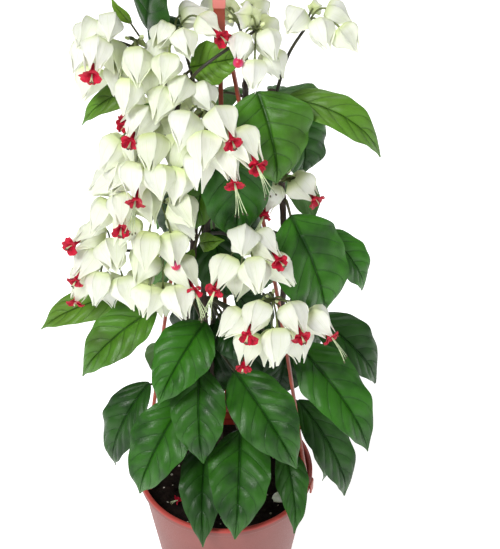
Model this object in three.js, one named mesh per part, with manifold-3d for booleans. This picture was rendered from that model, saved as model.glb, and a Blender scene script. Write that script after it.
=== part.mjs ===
// A bleeding heart vine in its hanging pot: the pot with its three-armed hanger, the potting
// soil, four woody stems trained up between the arms, single leaves and sprays of flowers.
// Millimetres, +Z up, -Y to the front, origin at the middle of the pot's underside.

import * as THREE from 'three';
import { mergeVertices } from 'three/addons/utils/BufferGeometryUtils.js';
import Module from 'manifold-3d';

const wasm = await Module();
wasm.setup();

// ---------------------------------------------------------------- driving dimensions

const GAP = 0.35; // clearance between separate pieces that touch

const POT = {
  height: 130, rimRadius: 75, lipHeight: 7, lipStand: 2.6, baseRadius: 53.5, wall: 2.5,
  floor: 3, drainRadius: 4, drainCircle: 36, drains: 6, sides: 28,
};

const SOIL = { level: 114, mound: 5, sides: 20 };

const HANGER = {
  hubZ: 523, hubRadius: 8, hubHeight: 10, armWidth: 3.4, armThick: 2.4, armBow: 3,
  strapWidth: 9, strapThick: 3.2, strapTop: 626, hookRadius: 14, hookTurn: 205,
  clipWidth: 9, clipWall: 1.8, clipDrop: 9, azimuths: { left: 195, right: 345, back: 90 },
};

// Stems: root first, radius at the root.
const STEMS = [
  { name: 'stem_left', radius: 2.6, route: [[-22, 8, 82], [-22, 8, 122], [-25, 8, 190], [-30, 4, 290],
    [-22, 6, 370], [-21, 6, 415], [-31, 4, 470], [-33, 2, 518]] },
  { name: 'stem_middle', radius: 2.4, route: [[-4, 14, 82], [-4, 14, 122], [-8, 16, 200], [-16, 12, 300],
    [-12, 14, 380], [-12, 12, 440], [-12, 8, 496]] },
  { name: 'stem_right', radius: 2.4, route: [[20, 12, 82], [20, 12, 122], [30, 13, 190], [44, 8, 280],
    [48, 2, 350], [45, 0, 415], [43, -2, 470], [36, -4, 508]] },
  { name: 'stem_back', radius: 2.4, route: [[-4, 36, 82], [-4, 36, 122], [-12, 48, 190], [-7, 56, 280],
    [8, 46, 380], [17, 35, 460], [18, 26, 500]] },
];

const BACK_STEM = 3; // leaves on this stem look to the back, all others to the front

// Blade form shared by every leaf, as parts of its own length or half width; and how far its
// face turns outwards, to the front and to the sky.
const LEAF = {
  outward: 0.4, front: 0.55, skyward: 0.6,
  thick: 1.0, petioleHalf: 1.3, petioleThick: 2.2, arch: 0.15, fold: 0.16, wave: 0.13,
  stations: [0.03, 0.12, 0.27, 0.44, 0.6, 0.75, 0.88, 1],
};

// Leaves: node, stem, height where the stalk leaves the stem, blade base, blade tip, width and,
// where it isn't the usual one, the arch as a part of the length. Leaves that share a node grow
// from one joint of the stem.
const LEAVES = [
  ['leaf_front_low_left', 0, 318, [-14, -18, 307], [-51, -62, 261], 46],
  ['leaf_front_low_mid', 1, 275, [-19, -22, 263], [-17, -66, 199], 45],
  ['leaf_front_low_right', 1, 268, [9, -22, 259], [59, -70, 198], 50],
  ['leaf_left_low', 0, 244, [-31, -26, 233], [-71, -62, 160], 49],
  ['leaf_front_pot', 1, 214, [13, -30, 202], [9, -92, 139], 51],
  ['leaf_front_pot_left', 0, 196, [-15, -22, 183], [-18, -90, 128], 38],
  ['leaf_right_pot', 2, 178, [48, -14, 168], [59, -68, 120], 28],
  ['leaf_right_low', 2, 276, [58, 0, 268], [119, -45, 193], 49],
  ['leaf_right_low_dark', 2, 214, [61, 8, 200], [105, -20, 113], 38],
  ['leaf_right_low_back', 2, 176, [66, 26, 166], [88, 14, 96], 22],
  ['leaves_right_back', 2, 290, [74, 25, 276], [128, 12, 216], 42],
  ['leaves_right_back', 2, 290, [55, 38, 286], [74, 42, 218], 40],
  ['leaf_left_low_dark', 0, 230, [-63, 12, 216], [-97, -8, 138], 40],
  ['leaf_left_mid_long', 0, 322, [-70, 20, 307], [-148, 4, 283], 32],
  ['leaf_left_mid', 0, 332, [-52, -6, 312], [-114, -28, 260], 39],
  ['leaves_inner_low', 1, 306, [0, -14, 300], [22, -38, 282], 30],
  ['leaves_inner_low', 1, 306, [8, 32, 298], [28, 32, 230], 42],
  ['leaves_inner_low', 1, 306, [-20, 30, 294], [-24, 34, 226], 40],
  ['leaves_inner_mid', 1, 422, [2, 20, 418], [24, 16, 352], 44, 0.1],
  ['leaves_inner_mid', 1, 422, [-24, 24, 410], [-42, 28, 350], 36],
  ['leaf_right_mid', 2, 412, [51, -5, 400], [80, -20, 314], 60, 0.1],
  ['leaves_right_curl', 2, 376, [78, 18, 368], [112, 12, 315], 32],
  ['leaves_right_curl', 2, 376, [34, 24, 366], [24, 30, 296], 42],
  ['leaf_middle', 1, 486, [10, -12, 484], [11, -30, 393], 50, 0.08],
  ['leaf_middle_left', 1, 452, [-6, -8, 456], [-20, -20, 398], 38, 0.1],
  ['leaf_top_mid', 2, 506, [26, -9, 510], [41, -39, 453], 63, 0.12],
  ['leaf_top_mid_back', 2, 488, [54, 28, 473], [57, 21, 415], 44],
  ['leaf_right_top', 2, 498, [46, 12, 492], [118, 0, 451], 30, 0.24],
  ['leaf_top_pale', 0, 512, [-20, -10, 530], [17, -14, 541], 24, 0.08],
  ['leaves_top_dark', 0, 515, [-50, 14, 547], [-30, 4, 634], 40, 0.06],
  ['leaves_top_dark', 0, 515, [-50, 24, 528], [-24, 28, 545], 26],
  ['leaves_left_top', 0, 492, [-48, 8, 506], [-100, -4, 481], 23, 0.2],
  ['leaves_left_top', 0, 492, [-41, 8, 480], [-62, 2, 486], 16],
  ['leaves_mid_small', 1, 385, [-17, -4, 374], [1, -14, 384], 15],
  ['leaves_mid_small', 1, 385, [-22, -2, 366], [-27, -8, 348], 9],
  ['leaf_back_centre', 3, 344, [4, 66, 344], [-2, 94, 280], 46],
  ['leaves_back_low', 3, 205, [-30, 62, 205], [-64, 100, 140], 50],
  ['leaves_back_low', 3, 205, [18, 55, 207], [60, 100, 140], 50],
  ['leaves_back_mid', 3, 288, [-24, 80, 287], [-70, 106, 228], 50],
  ['leaves_back_mid', 3, 288, [16, 79, 289], [66, 106, 236], 50],
  ['leaves_back_upper', 3, 392, [-16, 54, 390], [-56, 80, 330], 46],
  ['leaves_back_upper', 3, 392, [32, 54, 392], [74, 78, 334], 46],
  ['leaves_back_top', 3, 478, [2, 42, 480], [-10, 80, 424], 44],
  ['leaves_back_top', 3, 478, [38, 34, 484], [76, 58, 440], 42],
].map(([node, stem, at, base, tip, width, arch = LEAF.arch]) => (
  { node, stem, at, base, tip, width, arch }));

// A calyx hangs from its stalk like a small five-keeled lantern, drawn out to points.
const CALYX = { length: 27, radius: 10.8, keels: 5, shoulderAt: 0.1, shoulder: 0.78, girdleAt: 0.44 };
const COROLLA = { petals: 5, reach: 1.5, spread: 8, notch: 3.2, depth: 6, thick: 1.6 };
const STAMEN = { radius: 0.6, length: 22 };
const BUD_RADIUS = 3.6;
const STALK = { hub: 2.2, peduncle: 1.3, pedicel: 0.8 };

// What a calyx carries: nothing yet, a corolla, a corolla with long stamens, a round bud; or
// the whole flower is still young and small.
const SHUT = 0;
const OPEN = 1;
const LONG = 2;
const BUD = 3;
const YOUNG = 4;

// Sprays: stem, height where the peduncle leaves it, hub that the flower stalks spread from,
// and each calyx's middle measured from that hub. `via` bends the peduncle clear of others.
const SPRAYS = [
  { node: 'spray_top_left', stem: 0, at: 504, via: [-58, 14, 530], hub: [-80, 14, 540], size: 0.9,
    flowers: [
      [-9, -28, 18, SHUT], [7, -36, 26, SHUT], [-16, -22, -3, SHUT], [-2, -44, 13, OPEN],
      [5, -28, 0, SHUT], [-9, -30, -18, SHUT]],
  },
  { node: 'spray_top_left_low', stem: 0, at: 494, via: [-50, -6, 526], hub: [-58, 0, 545], size: 0.9,
    flowers: [
      [2, -28, -2, SHUT], [-4, -32, -23, SHUT], [-14, -14, -22, SHUT], [8, -18, -26, SHUT]],
  },
  { node: 'spray_top_mid', stem: 1, at: 494, via: [-24, 8, 530], hub: [-30, 6, 547], size: 0.8,
    flowers: [
      [-8, -20, 9, SHUT], [6, -26, 7, SHUT], [-5, -36, -6, SHUT], [-14, -14, -8, SHUT],
      [12, 4, 14, SHUT], [24, -22, 18, OPEN]],
  },
  { node: 'spray_top_right', stem: 0, at: 500, via: [-12, -28, 540], hub: [25, -8, 558], size: 0.8,
    flowers: [
      [-11, -22, -1, BUD], [-1, -30, -17, SHUT], [9, -14, -3, SHUT], [12, -8, -22, SHUT],
      [-6, 12, 4, SHUT]],
  },
  { node: 'spray_far_right', stem: 2, at: 504, via: [48, 8, 530], hub: [61, 6, 555], size: 0.8,
    flowers: [
      [-10, -14, 9, SHUT], [21, -4, 10, SHUT], [27, -20, 0, SHUT], [9, -22, 5, SHUT],
      [6, 8, 9, YOUNG]],
  },
  { node: 'spray_under_top', stem: 1, at: 488, via: [-17, 5, 500], hub: [-22, 5, 508], size: 0.85,
    flowers: [
      [11, -33, 9, SHUT], [-5, -35, 14, SHUT], [-19, -30, 6, SHUT]],
  },
  { node: 'spray_upper', stem: 1, at: 470, via: [-3, -8, 486], hub: [-11, -18, 501], size: 1,
    flowers: [
      [-10, -34, 2, SHUT], [12, -38, 9, OPEN], [2, -40, -3, SHUT], [-5, -30, -27, SHUT],
      [13, -36, -17, LONG], [27, -39, -5, LONG], [-19, -24, -45, SHUT], [-22, -18, -23, SHUT]],
  },
  { node: 'spray_left_upper', stem: 0, at: 458, via: [-44, -2, 476], hub: [-49, -8, 485], size: 1,
    flowers: [
      [-7, -22, 12, OPEN], [6, -34, -4, SHUT], [-9, -20, -14, SHUT], [-26, -14, -24, SHUT],
      [-11, -36, -24, LONG], [5, -46, -20, SHUT], [12, -14, 3, YOUNG]],
  },
  { node: 'spray_left_mid', stem: 0, at: 417, via: [-46, 0, 420], hub: [-67, -6, 428], size: 1,
    flowers: [
      [-18, -10, 8, SHUT], [-3, -34, 6, OPEN], [-21, -20, -12, SHUT], [12, -28, 2, SHUT],
      [-6, -22, 24, SHUT]],
  },
  { node: 'spray_left_low', stem: 0, at: 398, via: [-36, 0, 408], hub: [-45, -18, 422], size: 1,
    flowers: [
      [19, -28, 12, SHUT], [16, -16, -13, SHUT], [-6, -30, -19, SHUT], [10, -22, -20, BUD],
      [-24, -20, -12, SHUT]],
  },
  { node: 'spray_left_bottom', stem: 0, at: 356, via: [-58, 4, 360], hub: [-86, -4, 367], size: 1,
    flowers: [
      [-13, -12, 24, OPEN], [5, -30, 17, SHUT], [-15, -18, 1, OPEN], [-20, -14, -20, OPEN],
      [-6, -30, -12, SHUT], [-2, -10, -30, SHUT], [13, -32, -15, SHUT]],
  },
  { node: 'spray_mid_low', stem: 0, at: 370, via: [-42, 0, 374], hub: [-44, -20, 377], size: 1,
    flowers: [
      [-12, -30, -22, SHUT], [-1, -10, -38, SHUT], [12, -32, -19, SHUT], [-14, -14, -2, SHUT],
      [15, -22, -4, LONG], [-20, 4, -33, SHUT]],
  },
  { node: 'spray_front', stem: 1, at: 372, via: [4, -10, 386], hub: [17, -30, 387], size: 1,
    flowers: [
      [-15, -28, 1, LONG], [-1, -26, 26, SHUT], [16, -18, 17, OPEN], [8, -40, 8, SHUT],
      [26, -20, -3, SHUT], [-4, -14, -20, SHUT]],
  },
  { node: 'spray_front_low', stem: 1, at: 330, via: [18, -12, 340], hub: [38, -32, 341], size: 1,
    flowers: [
      [-29, -26, -2, SHUT], [-12, -40, 15, OPEN], [16, -30, 6, OPEN], [34, -16, -10, LONG],
      [-19, -30, -22, OPEN], [0, -16, -33, SHUT], [19, -18, -27, SHUT], [4, -48, -4, SHUT]],
  },
  { node: 'spray_right', stem: 2, at: 430, via: [45, -8, 434], hub: [46, -10, 436], size: 0.9,
    flowers: [
      [14, -2, -5, OPEN], [-11, -8, -10, LONG]],
  },
  { node: 'spray_back_left', stem: 3, at: 440, via: [-10, 58, 446], hub: [-34, 62, 448], size: 1,
    flowers: [
      [-26, -4, 0, OPEN], [-16, 20, 4, SHUT], [6, 24, -2, SHUT], [-18, 8, -22, SHUT],
      [-4, 22, -26, OPEN], [-30, -12, -22, SHUT]],
  },
  { node: 'spray_back_right', stem: 3, at: 412, via: [28, 58, 418], hub: [42, 66, 426], size: 1,
    flowers: [
      [24, 2, 4, SHUT], [12, 24, 4, OPEN], [-8, 26, -2, SHUT], [24, 10, -20, SHUT],
      [4, 26, -24, OPEN]],
  },
  { node: 'spray_back_top', stem: 3, at: 494, via: [18, 36, 520], hub: [12, 38, 540], size: 0.9,
    flowers: [
      [-20, 8, 2, SHUT], [-8, 24, -6, OPEN], [14, 22, -2, SHUT], [22, 4, -10, SHUT]],
  },
];

// ---------------------------------------------------------------- colours

const finish = (color, roughness) => () => (
  new THREE.MeshStandardMaterial({ color, roughness, metalness: 0 })
);
const potPlastic = finish(0xb26a66, 0.5);
const hangerPlastic = finish(0xa84a36, 0.45);
const pottingSoil = finish(0x1d1410, 1);
const wood = finish(0x23150e, 0.8);
const darkLeaf = finish(0x2f6424, 0.45);
const whiteCalyx = finish(0xf0f3df, 0.6);

// ---------------------------------------------------------------- small helpers

const vec = (p) => new THREE.Vector3(...p);
const mix = (a, b, t) => a.clone().lerp(b, t);
const turn = (degrees) => THREE.MathUtils.degToRad(degrees);

// Two directions square to `axis`; u, v and axis are right-handed.
function basisAcross(axis, near = new THREE.Vector3(0, 0, 1)) {
  const aside = Math.abs(axis.dot(near)) > 0.95 ? new THREE.Vector3(1, 0, 0) : near;
  const u = aside.clone().addScaledVector(axis, -aside.dot(axis)).normalize();
  const v = axis.clone().cross(u);
  return { u, v };
}

function meshOf(points, triangles) {
  const geometry = new THREE.BufferGeometry();
  const numbers = points.flatMap((p) => p.toArray());
  geometry.setAttribute('position', new THREE.Float32BufferAttribute(numbers, 3));
  geometry.setIndex(triangles.flat());
  return geometry;
}

// A closed skin over rings of points, fanned shut from a pole at each end. Every ring runs
// anticlockwise seen from the end pole.
function skin(startPole, rings, endPole) {
  const n = rings[0].length;
  const points = [startPole, ...rings.flat(), endPole];
  const id = (ring, j) => 1 + ring * n + (j % n);
  const end = points.length - 1;
  const last = rings.length - 1;
  const triangles = [];
  for (let j = 0; j < n; j += 1) {
    triangles.push([0, id(0, j + 1), id(0, j)], [end, id(last, j), id(last, j + 1)]);
    for (let i = 0; i < last; i += 1) {
      triangles.push([id(i, j), id(i, j + 1), id(i + 1, j + 1)]);
      triangles.push([id(i, j), id(i + 1, j + 1), id(i + 1, j)]);
    }
  }
  return meshOf(points, triangles);
}

// A tapered rod through points, with its ends closed flat.
function rod(points, radii, sides = 3) {
  const rings = points.map((p, i) => {
    const next = points[Math.min(i + 1, points.length - 1)];
    const axis = next.clone().sub(points[Math.max(i - 1, 0)]).normalize();
    const { u, v } = basisAcross(axis, new THREE.Vector3(0.3, 1, 0.1).normalize());
    return Array.from({ length: sides }, (_, j) => {
      const a = (2 * Math.PI * j) / sides;
      return p.clone()
        .addScaledVector(u, radii[i] * Math.cos(a)).addScaledVector(v, radii[i] * Math.sin(a));
    });
  });
  return skin(points[0], rings, points[points.length - 1]);
}

// Geometry to a manifold-3d solid and back.
function solid(geometry) {
  const bare = geometry.clone();
  bare.deleteAttribute('normal');
  bare.deleteAttribute('uv');
  const merged = mergeVertices(bare, 1e-4);
  return new wasm.Manifold(new wasm.Mesh({
    numProp: 3,
    vertProperties: new Float32Array(merged.attributes.position.array),
    triVerts: new Uint32Array(merged.index.array),
  }));
}

function geometryOf(body) {
  const { vertProperties, triVerts, numProp } = body.getMesh();
  const points = [];
  for (let i = 0; i < vertProperties.length; i += numProp) {
    points.push(new THREE.Vector3(vertProperties[i], vertProperties[i + 1], vertProperties[i + 2]));
  }
  const geometry = meshOf(points, []);
  geometry.setIndex(Array.from(triVerts));
  return geometry;
}

const fuse = (geometries) => geometryOf(geometries.map(solid).reduce((a, b) => a.add(b)));
const cut = (geometry, tools) => (
  geometryOf(tools.map(solid).reduce((a, b) => a.subtract(b), solid(geometry)))
);

const plant = new THREE.Group();

function place(name, geometry, material) {
  const mesh = new THREE.Mesh(geometry, material());
  mesh.name = name;
  plant.add(mesh);
}

// ---------------------------------------------------------------- pot and soil

const innerRadius = (z) => {
  const wallTop = POT.rimRadius - POT.lipStand;
  return POT.baseRadius + ((wallTop - POT.baseRadius) * z) / (POT.height - POT.lipHeight) - POT.wall;
};

// A closed LatheGeometry about Z from [radius, height] points that end on the axis or where
// they began.
function turned(profile, sides) {
  const lathe = new THREE.LatheGeometry(profile.map((p) => new THREE.Vector2(...p)), sides);
  return lathe.rotateX(Math.PI / 2);
}

function makePot() {
  const wallTop = POT.rimRadius - POT.lipStand;
  const lipLow = POT.height - POT.lipHeight;
  const cup = turned([
    [0, 0], [POT.baseRadius - 1, 0], [POT.baseRadius, 1], [wallTop, lipLow], [POT.rimRadius, lipLow + 1],
    [POT.rimRadius, POT.height - 1], [POT.rimRadius - 1, POT.height], [POT.rimRadius - 3.6, POT.height],
    [innerRadius(lipLow), lipLow - 2], [innerRadius(POT.floor), POT.floor], [0, POT.floor],
  ], POT.sides);
  const drains = Array.from({ length: POT.drains }, (_, i) => {
    const a = turn((360 / POT.drains) * (i + 0.5));
    return new THREE.CylinderGeometry(POT.drainRadius, POT.drainRadius, POT.floor * 3, 10)
      .rotateX(Math.PI / 2)
      .translate(POT.drainCircle * Math.cos(a), POT.drainCircle * Math.sin(a), POT.floor / 2);
  });
  return cut(cup, drains);
}

function makeSoil() {
  const low = POT.floor + GAP;
  const edge = (z) => innerRadius(z) - GAP - 0.4;
  const body = turned([
    [0, low], [edge(low), low], [edge(SOIL.level), SOIL.level],
    [edge(SOIL.level) * 0.7, SOIL.level + 0.5 * SOIL.mound],
    [edge(SOIL.level) * 0.35, SOIL.level + 0.9 * SOIL.mound], [0, SOIL.level + SOIL.mound],
  ], SOIL.sides);
  const holes = STEMS.map(({ route, radius }) => {
    const bottom = route[0][2] - GAP;
    const top = SOIL.level + SOIL.mound + 5;
    const across = radius + GAP + 1.2;
    return new THREE.CylinderGeometry(across, across, top - bottom, 8)
      .rotateX(Math.PI / 2)
      .translate(route[0][0], route[0][1], (top + bottom) / 2);
  });
  return cut(body, holes);
}

// ---------------------------------------------------------------- hanger

// An outline drawn in a vertical plane and pushed out sideways by `width`, both ways. The
// outline's x runs out from the pot's axis at `azimuth` and its y runs up.
function slab(outline, width, azimuth) {
  const settings = { depth: width, bevelEnabled: false, curveSegments: 10 };
  return new THREE.ExtrudeGeometry(outline, settings)
    .translate(0, 0, -width / 2).rotateX(Math.PI / 2).rotateZ(turn(azimuth));
}

const polygon = (points) => new THREE.Shape(points.map((p) => new THREE.Vector2(...p)));

// Hub plate, flat strap and open hook. The hook curls over to the back.
function makeHook() {
  const { hubZ, hubRadius, hubHeight, strapTop, strapWidth, strapThick, hookRadius, hookTurn } = HANGER;
  const hub = new THREE.CylinderGeometry(hubRadius, hubRadius - 2, hubHeight, 16)
    .rotateX(Math.PI / 2).translate(0, 0, hubZ);
  const half = strapThick / 2;
  const outline = new THREE.Shape();
  outline.moveTo(-half, hubZ);
  outline.lineTo(half, hubZ);
  outline.lineTo(half, strapTop);
  outline.absarc(hookRadius, strapTop, hookRadius - half, Math.PI, Math.PI - turn(hookTurn), true);
  outline.absarc(hookRadius, strapTop, hookRadius + half, Math.PI - turn(hookTurn), Math.PI, false);
  outline.lineTo(-half, hubZ);
  return fuse([hub, slab(outline, strapWidth, 90)]);
}

// One arm: a slim bowed rod from the hub down to a clip that saddles the pot's lip.
function makeArm(azimuth) {
  const { hubZ, hubRadius, armWidth, armThick, armBow, clipWidth, clipWall, clipDrop } = HANGER;
  const top = POT.height + GAP;
  const outer = POT.rimRadius + GAP;
  const inner = innerRadius(POT.height - clipDrop) - GAP - 1.2;
  const clip = slab(polygon([
    [outer, top], [outer, POT.height - clipDrop], [outer + clipWall, POT.height - clipDrop],
    [outer + clipWall, top + clipWall], [inner - clipWall, top + clipWall],
    [inner - clipWall, POT.height - clipDrop + 2], [inner, POT.height - clipDrop + 2], [inner, top],
  ]), clipWidth, azimuth);
  const seat = (outer + inner) / 2;
  const start = new THREE.Vector3(hubRadius + GAP + armThick / 2, 0, hubZ);
  const end = new THREE.Vector3(seat, 0, top + clipWall / 2);
  const middle = mix(start, end, 0.5).add(new THREE.Vector3(armBow, 0, armBow / 2));
  const section = polygon([[-armThick / 2, -armWidth / 2], [armThick / 2, -armWidth / 2],
    [armThick / 2, armWidth / 2], [-armThick / 2, armWidth / 2]]);
  const run = new THREE.ExtrudeGeometry(section, {
    steps: 6, bevelEnabled: false, extrudePath: new THREE.CatmullRomCurve3([start, middle, end]),
  });
  return fuse([clip, run.rotateZ(turn(azimuth))]);
}

// ---------------------------------------------------------------- stems

const stemCurves = STEMS.map(({ route }) => new THREE.CatmullRomCurve3(route.map(vec)));

function makeStem(curve, radius) {
  const sides = 6;
  const section = new THREE.Shape(Array.from({ length: sides }, (_, i) => new THREE.Vector2(
    radius * Math.cos((2 * Math.PI * i) / sides), radius * Math.sin((2 * Math.PI * i) / sides),
  )));
  return new THREE.ExtrudeGeometry(section, { steps: 14, bevelEnabled: false, extrudePath: curve });
}

// Where stalks of half thickness `half` leave stem `index` at height z on their way to the
// points `ends`: on the bark, with the clearance between pieces. A steep stalk, or one of
// several that part at once, stands off a little more, so that its edge clears the bark.
function stalkRoot(index, z, ends, half) {
  const curve = stemCurves[index];
  let low = 0;
  let high = 1;
  for (let i = 0; i < 30; i += 1) {
    const middle = (low + high) / 2;
    if (curve.getPoint(middle).z < z) low = middle;
    else high = middle;
  }
  const axisPoint = curve.getPoint(low);
  const ways = ends.map((end) => end.clone().sub(axisPoint).normalize());
  const out = new THREE.Vector3();
  ways.forEach((way) => out.add(way));
  out.setZ(0).normalize();
  const dip = half * (0.15 + 0.9 * Math.max(...ways.map((way) => Math.abs(way.z))));
  const spread = Math.max(...ways.map((way) => out.clone().cross(way.setZ(0).normalize()).length()));
  return axisPoint.addScaledVector(out, STEMS[index].radius + GAP + dip + half * spread);
}

// ---------------------------------------------------------------- leaves

// Half width along the blade, 0 at the base to 1 at the tip: round at the base, broadest
// before the middle and drawn out to the tip.
const bladeWidth = (t) => Math.sin(Math.PI * t ** 0.72) ** 0.85;

// A leaf: a stalk from `root` to the blade's base, then a blade whose midrib arches from base
// to tip. Each station has a left edge, a midrib and a right edge, on an upper and an under
// face that are split into triangles alike.
function makeLeaf(root, { stem, base, tip, width, arch }, index) {
  const from = vec(base);
  const to = vec(tip);
  const length = from.distanceTo(to);
  const along = to.clone().sub(from).normalize();
  const middle = mix(from, to, 0.5);
  const outward = new THREE.Vector3(middle.x, middle.y, 0).normalize();
  const frontward = new THREE.Vector3(0, stem === BACK_STEM ? LEAF.front : -LEAF.front, LEAF.skyward);
  const face = outward.multiplyScalar(LEAF.outward).add(frontward);
  const up = face.addScaledVector(along, -face.dot(along)).normalize();
  const side = along.clone().cross(up);
  const rows = [];
  const addRow = (centre, across, above, half, thick, lifts) => {
    rows.push([-1, 0, 1].map((c, k) => {
      const p = centre.clone().addScaledVector(across, c * half).addScaledVector(above, lifts[k]);
      return [p.clone().addScaledVector(above, thick / 2), p.addScaledVector(above, -thick / 2)];
    }));
  };
  const stalk = from.clone().sub(root).normalize();
  const stalkSide = side.clone().addScaledVector(stalk, -side.dot(stalk)).normalize();
  const stalkUp = stalkSide.clone().cross(stalk);
  [0, 0.7].forEach((t) => {
    addRow(mix(root, from, t), stalkSide, stalkUp, LEAF.petioleHalf, LEAF.petioleThick, [0, 0, 0]);
  });
  LEAF.stations.forEach((t) => {
    const half = Math.max(0.5 * width * bladeWidth(t), t < 0.5 ? LEAF.petioleHalf : 0.7);
    const centre = mix(from, to, t).addScaledVector(up, 4 * t * (1 - t) * arch * length);
    const wave = LEAF.wave * half;
    const fold = LEAF.fold * half;
    addRow(centre, side, up, half, LEAF.thick,
      [fold + wave * Math.sin(9 * t + index), 0, fold + wave * Math.sin(8 * t + 2 * index + 1)]);
  });
  const n = rows.length;
  const points = rows.flatMap((row) => row.flat());
  const upper = (i, k) => 6 * i + 2 * k;
  const under = (i, k) => 6 * i + 2 * k + 1;
  const triangles = [];
  const quad = (a, b, c, d) => triangles.push([a, b, c], [a, c, d]);
  for (let i = 0; i < n - 1; i += 1) {
    for (let k = 0; k < 2; k += 1) {
      quad(upper(i, k), upper(i, k + 1), upper(i + 1, k + 1), upper(i + 1, k));
      quad(under(i + 1, k + 1), under(i, k + 1), under(i, k), under(i + 1, k));
    }
    quad(upper(i, 0), upper(i + 1, 0), under(i + 1, 0), under(i, 0));
    quad(upper(i, 2), under(i, 2), under(i + 1, 2), upper(i + 1, 2));
  }
  for (let k = 0; k < 2; k += 1) {
    quad(upper(0, k), under(0, k), under(0, k + 1), upper(0, k + 1));
    quad(upper(n - 1, k), upper(n - 1, k + 1), under(n - 1, k + 1), under(n - 1, k));
  }
  return meshOf(points, triangles);
}

// ---------------------------------------------------------------- flowers

// The direction a flower hangs in: out along its stalk, then nodding over by its weight.
const NOD = new THREE.Vector3(0, 0, -0.75);
const hang = (offset) => offset.clone().normalize().add(NOD).normalize();

// Points round a flower's axis at `station` along it, with radius[0], radius[1], ... in turn.
function flowerRing(origin, axis, station, radius, sides = CALYX.keels) {
  const { u, v } = basisAcross(axis);
  return Array.from({ length: sides }, (_, j) => {
    const a = (2 * Math.PI * j) / sides;
    const r = radius[j % radius.length];
    return origin.clone().addScaledVector(axis, station)
      .addScaledVector(u, r * Math.cos(a)).addScaledVector(v, r * Math.sin(a));
  });
}

// A flower stalk from the hub and the calyx it carries, in one skin: the stalk, the shoulder,
// the widest girdle and the drawn-out point.
function makeCalyx(hub, origin, axis, size) {
  const length = size * CALYX.length;
  const keel = size * CALYX.radius;
  const stalk = hub.clone().sub(origin).normalize();
  const start = flowerRing(hub, stalk.negate(), 0, [STALK.pedicel]);
  return skin(hub.clone().addScaledVector(stalk, -STALK.pedicel), [
    start,
    flowerRing(origin, axis, 0, [STALK.pedicel]),
    flowerRing(origin, axis, CALYX.shoulderAt * length, [CALYX.shoulder * keel]),
    flowerRing(origin, axis, CALYX.girdleAt * length, [keel]),
  ], origin.clone().addScaledVector(axis, length));
}

// Five petals that spread from the calyx's point, as a thin star.
function makeCorolla(origin, axis, size) {
  const mouth = size * CALYX.length + COROLLA.reach;
  return skin(
    origin.clone().addScaledVector(axis, mouth - COROLLA.depth),
    [flowerRing(origin, axis, mouth, [COROLLA.spread, COROLLA.notch], 2 * COROLLA.petals)],
    origin.clone().addScaledVector(axis, mouth + COROLLA.thick),
  );
}

// Two long stamens that leave the corolla's mouth side by side and droop.
function makeStamens(origin, axis, size) {
  const { v } = basisAcross(axis);
  const mouth = origin.clone().addScaledVector(axis, size * CALYX.length + COROLLA.reach);
  return [-1, 1].map((s) => {
    const tip = mouth.clone().addScaledVector(axis, 0.95 * STAMEN.length).addScaledVector(v, 4 * s);
    tip.z -= 0.2 * STAMEN.length;
    const out = tip.clone().sub(mouth).normalize();
    const foot = mouth.clone().addScaledVector(axis, -2);
    return skin(foot, [flowerRing(mouth, out, 3, [STAMEN.radius], 3)], tip);
  });
}

// Every calyx's middle, once neighbours closer than ROOM have pushed each other apart.
const ROOM = 21;
const SETTLE_STEPS = 40;
const bloomList = SPRAYS.flatMap(({ node, hub, size, flowers }) => flowers.map(([x, y, z, state]) => (
  { node, hub: vec(hub), middle: vec(hub).add(new THREE.Vector3(x, y, z)), size, state })));
for (let step = 0; step < SETTLE_STEPS; step += 1) {
  const pushes = bloomList.map(() => new THREE.Vector3());
  bloomList.forEach((a, i) => bloomList.forEach((b, j) => {
    const apart = a.middle.clone().sub(b.middle);
    const distance = apart.length();
    const lack = ROOM * Math.min(a.size, b.size) - distance;
    if (i !== j && lack > 0) pushes[i].addScaledVector(apart, (0.25 * lack) / distance);
  }));
  bloomList.forEach((a, i) => a.middle.add(pushes[i]));
}

function makeFlower({ hub, middle, state, size }) {
  const offset = middle.clone().sub(hub);
  const axis = hang(offset);
  const scale = size * (state === YOUNG ? 0.55 : 1);
  const origin = middle.clone().addScaledVector(axis, -0.42 * scale * CALYX.length);
  const pieces = [makeCalyx(hub, origin, axis, scale)];
  if (state === OPEN || state === LONG) pieces.push(makeCorolla(origin, axis, scale));
  if (state === LONG) pieces.push(...makeStamens(origin, axis, scale));
  if (state === BUD) {
    const ball = new THREE.SphereGeometry(BUD_RADIUS, 6, 4);
    pieces.push(ball.translate(...origin.clone().addScaledVector(axis, scale * CALYX.length).toArray()));
  }
  return pieces;
}

function makeSpray({ node, stem, at, via, hub }) {
  const end = vec(hub);
  const root = stalkRoot(stem, at, [vec(via)], STALK.peduncle);
  const stalk = rod([root, vec(via), end], [STALK.peduncle, STALK.peduncle, STALK.peduncle], 4);
  const knob = new THREE.OctahedronGeometry(STALK.hub).translate(...hub);
  const blooms = bloomList.filter((bloom) => bloom.node === node);
  return fuse([stalk, knob, ...blooms.flatMap(makeFlower)]);
}

// ---------------------------------------------------------------- assembly

place('pot', makePot(), potPlastic);
place('soil', makeSoil(), pottingSoil);
place('hanger_hook', makeHook(), hangerPlastic);
Object.entries(HANGER.azimuths).forEach(([where, azimuth]) => {
  place(`hanger_arm_${where}`, makeArm(azimuth), hangerPlastic);
});
STEMS.forEach(({ name, radius }, i) => place(name, makeStem(stemCurves[i], radius), wood));

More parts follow.
